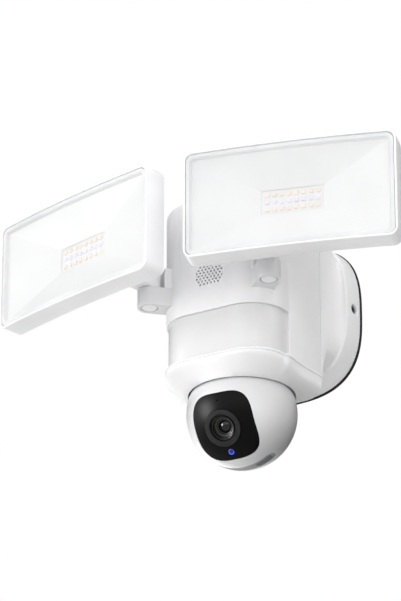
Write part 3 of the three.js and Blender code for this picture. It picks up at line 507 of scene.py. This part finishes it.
# %% Chin cover
OPENING_R = 34.6
CHIN_TOP = WINDOW_BOTTOM - 0.3
CHIN_BOTTOM = -72.3

def plan_radius(angle):
    """From the ball's axis to the column's outline, in the direction of an angle."""
    c, s = abs(math.cos(angle)), math.sin(angle)
    px, py = CORNER_X, CORNER_Y - BALL_Y
    along = c * px + s * py
    reach = along + math.sqrt(max(along * along - px * px - py * py + CORNER_R ** 2, 0))
    if reach * c < CORNER_X:
        return (COLUMN_FRONT - BALL_Y) / s
    if reach * s > py:
        return column_half(BALL_Y) / c
    return reach

def chin_ring(blend, offset, mouth, front_z, rear_z, back, steps=72, rear_steps=6):
    """blend 0 follows the column's outline and 1 the round mouth."""
    points = []
    for i in range(rear_steps):
        y = back + (BALL_Y - back) * i / rear_steps
        x = column_half(y) + offset
        points.append((x + (mouth - x) * blend, y, rear_z))
    for i in range(steps + 1):
        a = -math.pi * i / steps
        r = plan_radius(a) + offset
        r += (mouth - r) * blend
        z = front_z + (rear_z - front_z) * abs(math.cos(a)) ** 6
        points.append((r * math.cos(a), BALL_Y + r * math.sin(a), z))
    return points + [(-x, y, z) for x, y, z in reversed(points[:rear_steps])]

def chin_rings(inset, drop, mouth):
    """The chin's section from its lip down to the mouth, or the same a wall's thickness inside."""
    top, bottom = CHIN_TOP, CHIN_BOTTOM
    back = COLUMN_BACK - inset
    # Each row is a ring: its blend, its offset, and its height in front and at the back.
    table = ((0, 0.8, top - 0.7, top - 0.7), (0, 0.8, top - 1.3, top - 1.3),
             (0, 0.2, top - 1.7, top - 1.7), (0, 0.2, top - 2.2, -64.5),
             (0, 0.2, top - 2.8, -66.5), (0.1, 0.2, top - 4.2, -68.6),
             (0.4, 0.3, top - 7.6, -70.4), (0.75, 0.1, top - 11.6, -71.6),
             (1, 0, bottom, bottom))
    return [chin_ring(blend, offset - inset * (1 - blend), mouth, front + drop, rear + drop, back)
            for blend, offset, front, rear in table]

def chin_shell():
    lip = OPENING_R + 0.9
    upper = [chin_ring(0, offset, lip, CHIN_TOP - drop, CHIN_TOP - drop, COLUMN_BACK)
             for offset, drop in ((-0.4, 0), (0.3, 0.1), (0.65, 0.3))]
    return skin(upper + chin_rings(0, 0, lip))

def chin_hollow():
    start = chin_ring(0, -WALL, OPENING_R, -50, -50, COLUMN_BACK - WALL)
    return skin([start] + chin_rings(WALL, 1.6, OPENING_R))

piece("chin_shell", chin_shell(), HERE, "root", WHITE, ["chin_cover"], edge=0.3, corner=48,
      cuts=[chin_hollow(), ball_room(),
            prism(circle(OPENING_R, 128, 0, BALL_Y), "z", CHIN_BOTTOM - 3, CHIN_BOTTOM + 5)])
print("mouth, mm across:", 2 * OPENING_R)

# %% [markdown]
# ## Ball
# The ball is two thin shells. A rounded square opening takes the black face, and a slot over
# the top lets the post pass as it tilts. Every piece of it is a sphere cut by straight-sided
# tools, so that the joints between the pieces all lie on the one round surface.

# %% Ball shells
FACE_HALF_X, FACE_HALF_Z = 20.5, 21.8
FACE_POWER = 3.2
FACE_R = 45.5
FACE_FRONT = 33.4
CAP_SPLIT = 16.0
FLAP_LENGTH, FLAP_WIDTH = 41.0, 9.0

def face_tool(grow, start=-60, end=-10):
    outline = [(x * (FACE_HALF_X + grow), z * (FACE_HALF_Z + grow))
               for x, z in superellipse(1, FACE_POWER, 144)]
    return prism(outline, "y", start, end)

def flap_outline(grow):
    width = FLAP_WIDTH + 2 * grow
    return rounded_rect(FLAP_LENGTH + 2 * grow, width, width / 2 - 0.05, 16)

def post_slot():
    """From the ball's top to its back, a little wider than the post."""
    angles = [math.radians(-8 + 78 * i / 16) for i in range(17)]
    arc = [(14 * math.sin(a), 14 * math.cos(a)) for a in angles]
    arc += [(50 * math.sin(a), 50 * math.cos(a)) for a in reversed(angles)]
    return prism(arc, "x", -7.5, 7.5)

# Both ball shells take the greyed white, which is painted shade for the ball's shadow side.
piece("ball_front", ball_mesh(BALL_R), BALL, "camera_ball", BALL_WHITE_PAINTED_SHADE, ["ball_shell"], edge=0.35,
      corner=35, cuts=[ball_mesh(BALL_R - WALL, 48), face_tool(0.45),
                       moved(prism(flap_outline(0.3), "y", -60, -20), FLAP_ROLL), post_slot(),
                       block(-60, 60, CAP_SPLIT, 60, -60, 60)])
piece("ball_back", ball_mesh(BALL_R), BALL, "camera_ball", BALL_WHITE_PAINTED_SHADE, ["ball_rear_cap"], edge=0.3,
      corner=35, cuts=[ball_mesh(BALL_R - WALL, 48), post_slot(),
                       block(-60, 60, -60, CAP_SPLIT + 0.3, -60, 60)])
print("ball, mm across:", 2 * BALL_R)

# %% [markdown]
# ## Face plate
# The face is a gently domed black plate. It is a slice of a larger sphere kept inside a
# superellipse outline, which gives it corners that never turn suddenly, with holes for the
# lens, the status light and the microphone.

# %% Face plate
LIGHT_Z = -16.4
MIC_Z = 17.6

piece("face_dome", ball_mesh(FACE_R, 96, FACE_R - FACE_FRONT), BALL, "camera_ball", FACE,
      ["face_plate"], edge=0.5, corner=35, keeps=[face_tool(0.0)],
      cuts=[ball_mesh(FACE_R - 2.4, 48, FACE_R - FACE_FRONT),
            prism(circle(12.4, 96), "y", -60, 0),
            prism(circle(2.1, 32, 0, LIGHT_Z), "y", -60, 0),
            prism(circle(0.55, 16, 0, MIC_Z), "y", -60, 0)])

# %% [markdown]
# ## Lens
# Rings, barrel and glass are all turned parts on the real lens, so each is a profile spun
# about the lens axis. A profile is the ring's cut section: radius, then place along the axis.

# %% Lens rings, barrel and glass
piece("lens_outer_ring", spun([(12.1, -28), (12.1, -32.7), (11.8, -33.0), (9.3, -33.2),
                               (8.8, -32.7), (8.8, -28), (12.1, -28)]),
      BALL, "camera_ball", GRAPHITE, ["lens_ring"], edge=0)
piece("lens_barrel_body", spun([(0, -14.6), (7.7, -14.6), (7.7, -22), (8.6, -22), (8.6, -31.0),
                                (8.4, -31.4), (8.0, -31.4), (7.8, -32.1), (7.5, -32.4),
                                (7.1, -32.3), (6.9, -31.8), (6.8, -30.4), (6.4, -30.3),
                                (6.3, -28.3), (0, -28.3), (0, -14.6)]),
      BALL, "camera_ball", BARREL, ["lens_barrel"], edge=0)
piece("lens_brass_ring", spun([(6.25, -28.4), (6.25, -29.6), (6.0, -29.9), (5.6, -29.8),
                               (5.4, -29.2), (5.4, -28.4), (6.25, -28.4)]),
      BALL, "camera_ball", BRASS, edge=0)
piece("lens_inner_ring", spun([(5.4, -28.4), (5.4, -29.0), (5.1, -29.4), (4.3, -29.2),
                               (4.2, -28.4), (5.4, -28.4)]),
      BALL, "camera_ball", BARREL, edge=0)

GLASS_DOME_R = 6
GLASS_DOME_Y = -24.2

def glass_dome():
    arc = [(GLASS_DOME_R * math.sin(math.radians(a)),
            GLASS_DOME_Y - GLASS_DOME_R * math.cos(math.radians(a))) for a in range(0, 46, 5)]
    return spun(arc[:-1] + [(4.15, -29.3), (4.15, -28.2), (0, -28.2), arc[0]])

piece("lens_front_glass", glass_dome(), BALL, "camera_ball", GLASS, ["lens_glass"], edge=0)

# %% [markdown]
# ## Status light
# A small ring of clear plastic carries the light of a diode behind it. It is two spun pieces,
# a lit ring and a deep blue core, because one glowing disc would lose its dark middle.

# %% Status light
ring_place = BALL @ Matrix.Translation((0, 0, LIGHT_Z * MM))
piece("status_ring", spun([(2.0, -27), (2.0, -29.7), (1.9, -29.9), (1.45, -29.9), (1.35, -29.7),
                           (1.35, -27), (2.0, -27)], 48),
      ring_place, "camera_ball", LIGHT, ["status_light"], edge=0)
piece("status_core", spun([(0, -27), (1.3, -27), (1.3, -29.6), (0, -29.7), (0, -27)], 32),
      ring_place, "camera_ball", CORE_BLUE, edge=0)

# %% [markdown]
# ## Card cover
# A soft rubber strip, flush with the ball, covers the card slot and the sync button. One end
# is its hinge and the other has a darker pad for the thumb, marked off by a groove. Both are
# cut from spheres that share the ball's centre, so they stay flush when the cover is shut.

# %% Card cover
GROOVE_X = 8.6
PAD_X = 13.4

def lip_groove():
    return block(GROOVE_X, GROOVE_X + 0.5, -60, -34.6, -6, 6)

piece("card_cover_strip", ball_mesh(BALL_R - 0.15), FLAP, "card_cover", FLAP_RUBBER,
      ["card_flap"], edge=0.3, corner=35, keeps=[prism(flap_outline(0), "y", -60, -20)],
      cuts=[ball_mesh(BALL_R - 2.0, 48), lip_groove()])

def pad_outline():
    return [(x + PAD_X, z) for x, z in rounded_rect(10.6, 5.6, 1.2, 6)]

piece("card_cover_pad", ball_mesh(BALL_R + 0.05), FLAP, "card_cover", PAD_RUBBER, edge=0.2,
      corner=35, keeps=[prism(pad_outline(), "y", -60, -20)], cuts=[ball_mesh(BALL_R - 0.3)])
print("ball pieces done")

# %% [markdown]
# ## Arms
# Each lamp hangs on a short arm that runs back into the column's corner. The ear has a round
# nose about its pivot, and a root block behind it joins the column. Both are pushed outlines,
# with the column's own outline cut away where they meet it, so that no wall lies in another.

# %% Arms
ARM_HALF = 7.6
ARM_BOTTOM = -16.7
EAR_TOP = -4.4
ARM_TOP = 9.5
ARM_X, ARM_Y = 43.9, -108.7
ARM_REACH = math.hypot(ARM_X - CORNER_X, ARM_Y - CORNER_Y)
CAP_RECESS_R = 5.7

def arm_ear():
    turns = [math.radians(-90 + 180 * i / 24) for i in range(25)]
    nose = [(ARM_HALF * math.cos(a), ARM_HALF * math.sin(a)) for a in turns]
    tail = [(-ARM_REACH, ARM_HALF), (-ARM_REACH, -ARM_HALF)]
    return prism(nose + tail, "z", ARM_BOTTOM, EAR_TOP)

def arm_root():
    return block(-ARM_REACH, -ARM_HALF - 1.0, -ARM_HALF, ARM_HALF, EAR_TOP - 0.2, ARM_TOP)

def arm_place(side):
    angle = math.atan2(ARM_Y - CORNER_Y, side * (ARM_X - CORNER_X))
    pivot = Vector((side * ARM_X, ARM_Y, 0)) * MM
    return Matrix.Translation(pivot) @ Matrix.Rotation(angle, 4, "Z")

def column_core(place):
    """The column's solid core, carried into an arm's own frame."""
    into_arm = Matrix.Scale(1 / MM, 4) @ place.inverted() @ Matrix.Scale(MM, 4)
    return moved(prism(column_plan(-0.2), "z", -40, 40), into_arm)

def pivot_disc():
    low, high = ARM_BOTTOM, ARM_BOTTOM + 1.6
    return spun([(0, low), (4.5, low), (5.0, low + 0.4), (5.0, high), (0, high), (0, low)], 64, "z")

for name, side in SIDES.items():
    place = arm_place(side)
    recess = prism(circle(CAP_RECESS_R, 64), "z", ARM_BOTTOM - 1, ARM_BOTTOM + 2)
    # The ear's grey is painted shade, for the lamp's shadow over it.
    piece(f"arm_ear_{name}", arm_ear(), place, "root", ARM_WHITE_PAINTED_SHADE, [f"arm_{name}"], edge=0.6,
          cuts=[column_core(place), recess])
    piece(f"arm_root_{name}", arm_root(), place, "root", WHITE, edge=0.8,
          cuts=[column_core(place)])
    piece(f"pivot_disc_{name}", pivot_disc(), place, "root", WHITE, [f"pivot_cap_{name}"], edge=0)
print("arm, mm from the corner's centre to its pivot:", round(ARM_REACH, 1))

# %% [markdown]
# ## Lamps
# A lamp is a shallow tray, bowed a little outwards. Inside the white rim lie the clear front
# with its grey glued border, a four-sided reflector, and a board with three rows of diodes.
# Each could be drawn curved, but it is simpler to draw it flat and put in the bow last, by
# bisecting the flat shape in narrow strips and moving them back.

# %% Lamp shapes
LAMP_W, LAMP_H, LAMP_DEPTH = 137.3, 73.4, 16.0
LAMP_BOW = 800.0
BEZEL = 1.5
BORDER_W, BORDER_H = 128.6, 64.7
PIVOT_U, PIVOT_BACK = 24.4, 49.0
TILT_BACK, TILT_Z = 27.0, 2.6 - LAMP_Z
LUG_R, LUG_NEAR, LUG_FAR = 6.5, 9.4, 13.4
DIODE_STEP_X, DIODE_STEP_Z, DIODE_SIZE = 4.7, 5.0, 2.9

def bowed(bm, strips=24):
    for i in range(1, strips):
        x = LAMP_W * (i / strips - 0.5)
        bmesh.ops.bisect_plane(bm, geom=bm.verts[:] + bm.edges[:] + bm.faces[:], dist=0.0001,
                               plane_co=(x, 0, 0), plane_no=(1, 0, 0))
    for v in bm.verts:
        v.co.y += v.co.x ** 2 / (2 * LAMP_BOW)
    return bm

def lamp_frame():
    bm = prism(rounded_rect(LAMP_W, LAMP_H, 6.0, 10), "y", LAMP_DEPTH, 0)
    bm.normal_update()
    front = [f for f in bm.faces if f.calc_center_median().y < 0.01]
    bmesh.ops.inset_region(bm, faces=front, thickness=BEZEL, use_even_offset=True)
    deep = bmesh.ops.extrude_face_region(bm, geom=front)
    verts = [v for v in deep["geom"] if isinstance(v, bmesh.types.BMVert)]
    bmesh.ops.translate(bm, verts=verts, vec=(0, LAMP_DEPTH - 2, 0))
    bmesh.ops.delete(bm, geom=front, context="FACES")
    return bowed(bm)

def lug_pair(side):
    whole = bmesh.new()
    for hand in (-1, 1):
        x0 = -side * PIVOT_U + (LUG_NEAR if hand > 0 else -LUG_FAR)
        turns = [math.radians(90 - 180 * i / 24) for i in range(25)]
        outline = [(TILT_BACK + LUG_R * math.cos(a), TILT_Z + LUG_R * math.sin(a)) for a in turns]
        outline += [(LAMP_DEPTH - 1, TILT_Z - LUG_R), (LAMP_DEPTH - 1, TILT_Z + LUG_R)]
        prism(outline, "x", x0, x0 + LUG_FAR - LUG_NEAR, whole)
    return whole

def rim_ring(width, height, y, radius=2.0):
    return [(x, y, z) for x, z in rounded_rect(width, height, radius, 4)]

def reflector_shell():
    wide, tall = LAMP_W - 9.0, LAMP_H - 9.0
    front = rim_ring(wide, tall, 1.2), rim_ring(wide - 0.9, tall - 0.9, 1.2)
    inner = rim_ring(wide - 1.2, tall - 1.2, 3.2), rim_ring(40.5, 16.5, 12.6, 0.6)
    outer = rim_ring(43, 19, 12.6, 0.6), rim_ring(wide, tall, 4.2)
    return bowed(skin([*front, *inner, *outer, front[0]], close=(False, False)))

def bordered(grow, y0, y1):
    outline = rounded_rect(BORDER_W + grow, BORDER_H + grow, 2.2 + grow / 2, 8)
    return bowed(prism(outline, "y", y0, y1))

def clear_front():
    return bowed(prism(rounded_rect(LAMP_W - 3.4, LAMP_H - 3.4, 4.3, 8), "y", 0.7, 0.2))

def diodes(rows):
    bm = bmesh.new()
    for row in rows:
        for i in range(8):
            x, z = (i - 3.5) * DIODE_STEP_X, row * DIODE_STEP_Z
            outline = [(x + a, z + b) for a, b in rounded_rect(DIODE_SIZE, DIODE_SIZE, 0.5, 3)]
            prism(outline, "y", 12.4, 13.2, bm)
    return bm

# %% [markdown]
# ## Knuckles
# A knuckle turns on the arm's ear for the sideways swing, and carries the cross barrel of the
# tilt hinge. It is one moulding on the real light. Here it is three plain solids that run into
# one another, as the rounded edge of each is cleaner than that of one joined body.

# %% Knuckle shapes
PIN_HEAD_X = 14.45
PIN_HEAD_HALF = 0.75

def knuckle_body(side):
    x = -side * PIVOT_U
    low, high = EAR_TOP + 0.3 - LAMP_Z, ARM_TOP - 0.2 - LAMP_Z
    barrel = prism(circle(ARM_HALF - 0.2, 64, x, PIVOT_BACK), "z", low, high)
    link = block(x - 6, x + 6, TILT_BACK, PIVOT_BACK, low + 0.3, high - 0.3)
    cross = prism(circle(LUG_R, 64, TILT_BACK, TILT_Z), "x", x - 9.1, x + 9.1)
    return barrel, link, cross

def pin_heads(side):
    x = -side * PIVOT_U
    whole = bmesh.new()
    for middle in (x - PIN_HEAD_X, x + PIN_HEAD_X):
        ends = middle - PIN_HEAD_HALF, middle + PIN_HEAD_HALF
        prism(circle(3.8, 48, TILT_BACK, TILT_Z), "x", *ends, whole)
    prism(circle(2.0, 32, TILT_BACK, TILT_Z), "x", x - 14.4, x + 14.4, whole)
    return whole

# %% [markdown]
# ## Putting the lamps together
# Left and right are mirror twins, so one loop makes both. The tray and all that lies in it
# ride on the lamp's body, and the knuckle and the pin's heads on the knuckle's.

# %% Both lamps
for name, side in SIDES.items():
    place, body = lamp_place(side), f"lamp_{name}"
    piece(f"lamp_tray_{name}", lamp_frame(), place, body, WHITE, [f"lamp_housing_{name}"],
          edge=0.45, corner=40)
    piece(f"lamp_lugs_{name}", lug_pair(side), place, body, WHITE, edge=0.5, corner=40)
    piece(f"lamp_front_{name}", clear_front(), place, body, CLEAR, [f"lamp_lens_{name}"],
          edge=0.15, corner=40)
    piece(f"lamp_border_{name}", bordered(5.0, 2.0, 0.9), place, body, FROST,
          [f"lamp_seal_{name}"], edge=0.1, cuts=[bordered(0.0, 4.0, -1.0)])
    piece(f"lamp_reflector_{name}", reflector_shell(), place, body, REFLECTOR,
          [f"reflector_{name}"], edge=0.12, corner=40)
    piece(f"lamp_board_{name}", prism(rounded_rect(56, 24, 2, 4), "y", 13.1, 13.8), place, body,
          LED_BOARD, [f"led_board_{name}"], edge=0.1)
    piece(f"lamp_diodes_warm_{name}", diodes((-1, 1)), place, body, WARM, edge=0.12)
    piece(f"lamp_diodes_cool_{name}", diodes((0,)), place, body, COOL, edge=0.12)
    for part, shape in zip(("barrel", "link", "cross"), knuckle_body(side)):
        stands = [f"knuckle_{name}"] if part == "barrel" else []
        piece(f"knuckle_{part}_{name}", shape, place, f"knuckle_{name}", WHITE, stands, edge=0.6)
    piece(f"tilt_pin_heads_{name}", pin_heads(side), place, f"knuckle_{name}", ZINC,
          [f"tilt_pin_{name}"], edge=0.25)
print("lamp, mm:", LAMP_W, "x", LAMP_H, "x", LAMP_DEPTH)

# %% [markdown]
# ## Parts inside
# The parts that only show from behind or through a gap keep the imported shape. Each takes the
# finish of the real thing in place of its plain colour.

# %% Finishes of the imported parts
INSIDE = {
    ZINC: ["wall_bracket", "motion_sensor_left", "motion_sensor_right", "pan_motor", "tilt_motor",
           "card_reader", "tilt_axle", "pivot_pin_left", "pivot_pin_right"],
    BLACK_RUBBER: ["cable_grommet", "speaker_mesh"],
    BOARD: ["power_board", "sensor_board", "main_board", "image_board"],
    ACETAL: ["bearing_plate", "pan_pinion", "turntable", "sync_button"],
    OXIDE: ["speaker_driver"],
}
for finish, nodes in INSIDE.items():
    for node in nodes:
        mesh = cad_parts[node].data
        mesh.materials.clear()
        mesh.materials.append(finish)
print("packed parts with a finish:", sum(len(nodes) for nodes in INSIDE.values()))

# %% [markdown]
# ## Camera
# The camera looks up at the object from below and to its right, from far off with a long lens
# so that the near lamp isn't enlarged. The shift stays at nought: the camera is aimed a
# little right of and below the middle of the lamps' fronts, which puts the object in place.

# %% Camera
BACK = Vector((0.4525, -0.7775, -0.4368))
RIGHT = Vector((0.8644, 0.5028, 0.0))
UP = Vector((0.2197, -0.3774, 0.8994))
SENSOR = 36.0
FOCAL = 219.8336
FRONT_MIDDLE = Vector((0, LAMP_Y, LAMP_Z)) * MM
DISTANCE = 2.323
AIM_RIGHT, AIM_DOWN = 0.00662125, 0.02217984

camera = bpy.data.objects.new("camera", bpy.data.cameras.new("camera"))
bpy.context.scene.collection.objects.link(camera)
camera.data.sensor_fit = "VERTICAL"
camera.data.sensor_height = SENSOR
camera.data.lens = FOCAL
camera.data.clip_end = 20.0
camera.location = FRONT_MIDDLE + BACK * DISTANCE
aim = RIGHT * AIM_RIGHT - UP * AIM_DOWN - BACK
camera.rotation_euler = aim.to_track_quat("-Z", "Y").to_euler()
bpy.context.scene.camera = camera
print("camera at", tuple(round(v, 3) for v in camera.location))

# %% [markdown]
# ## Light
# White plastic needs soft light from all round, or it loses its shape. One large lamp high on
# the left is the key. The rest are soft boxes drawn into the world: each is brightest in one
# direction and fades away from it, which is smoother and quicker than many lamps. The camera
# itself sees plain white behind the object.

# %% Studio lamps
def soft_light(name, watts, size, at, sheen_only=False, target=(0, -0.09, -0.01)):
    lamp = bpy.data.lights.new(name, "AREA")
    lamp.energy, lamp.size = watts, size
    made = bpy.data.objects.new(name, lamp)
    made.location = at
    made.rotation_euler = (Vector(target) - Vector(at)).to_track_quat("-Z", "Y").to_euler()
    made.visible_diffuse = not sheen_only
    bpy.context.scene.collection.objects.link(made)

soft_light("key", 8, 1.6, (-1.5, -1.7, 1.5))
# A small light that only shows as a glint, on the face and in the lens.
soft_light("glint", 40, 0.8, (-1.68, -1.76, -0.3), sheen_only=True)

# %% Soft boxes in the world
# Each soft box is a direction, its brightness, and how tight it is.
SOFT_BOXES = (((0, -1, 0), 1.75, 3), ((0.45, 0, 0.89), 4.4, 10), ((-0.67, 0.67, -0.33), 4.0, 10),
              ((0.89, 0, -0.45), 1.75, 10), ((-0.89, -0.45, 0), 2.8, 10),
              ((0.71, -0.71, 0), 1.5, 10), ((0.45, 0, -0.89), 1.0, 10))
world = bpy.data.worlds.new("studio")
bpy.context.scene.world = world
world.use_nodes = True
sky = world.node_tree
sky.nodes.clear()
facing = add_node(sky, "ShaderNodeTexCoord").outputs["Generated"]
total = None
for direction, brightness, tightness in SOFT_BOXES:
    dot = add_node(sky, "ShaderNodeVectorMath", {1: direction}, {0: facing},
                   operation="DOT_PRODUCT").outputs["Value"]
    ahead = add_node(sky, "ShaderNodeMath", {1: 0.0}, {0: dot}, operation="MAXIMUM").outputs[0]
    tight = add_node(sky, "ShaderNodeMath", {1: tightness}, {0: ahead},
                     operation="POWER").outputs[0]
    grown = add_node(sky, "ShaderNodeMath", {1: brightness, 2: 0.0}, {0: tight},
                     operation="MULTIPLY_ADD")
    if total is not None:
        sky.links.new(total, grown.inputs[2])
    total = grown.outputs[0]
dim = add_node(sky, "ShaderNodeBackground", {"Color": (1, 1, 1, 1)}, {"Strength": total})
bright = add_node(sky, "ShaderNodeBackground", {"Color": (1, 1, 1, 1), "Strength": 1.0})
seen = add_node(sky, "ShaderNodeLightPath").outputs["Is Camera Ray"]
both = add_node(sky, "ShaderNodeMixShader", links={"Fac": seen, 1: dim.outputs[0],
                                                  2: bright.outputs[0]})
add_node(sky, "ShaderNodeOutputWorld", links={"Surface": both.outputs[0]})

# %% [markdown]
# ## Floor and card
# A pale floor lies far below, out of the main view. A dark felt card stands beside the ball,
# out of the camera's sight, and keeps light off the ball's lower right, which gives it its
# round shadow side. Both belong to the studio, not to the object.

# %% Floor and card
FLOOR_SIZE = 8000
FLOOR_TOP = -1300
CARD_R = 50
CARD_DISTANCE = 75
CARD_AWAY = Vector((0.62, 0.3, -0.72)).normalized()

floor_outline = rounded_rect(FLOOR_SIZE, FLOOR_SIZE, 10, 2)
floor = raw_object("floor", prism(floor_outline, "z", FLOOR_TOP - 20, FLOOR_TOP))
floor.data.materials.append(recipe("matte_pale_paint", "E4E4E4", "E8E8E8", (0.8, 0.9)))

card_turn = CARD_AWAY.to_track_quat("Z", "Y").to_matrix().to_4x4()
card_place = Matrix.Translation(BALL_CENTRE + CARD_AWAY * CARD_DISTANCE * MM) @ card_turn
card = raw_object("card", prism(circle(CARD_R, 48), "z", 0, 1), card_place)
card.data.materials.append(recipe("grey_felt_card", "505050", "585858", (0.9, 1.0)))
card.visible_camera = False

# %% Picture settings
scene = bpy.context.scene
scene.view_settings.view_transform = "Standard"
scene.cycles.max_bounces = 8
scene.cycles.transparent_max_bounces = 12
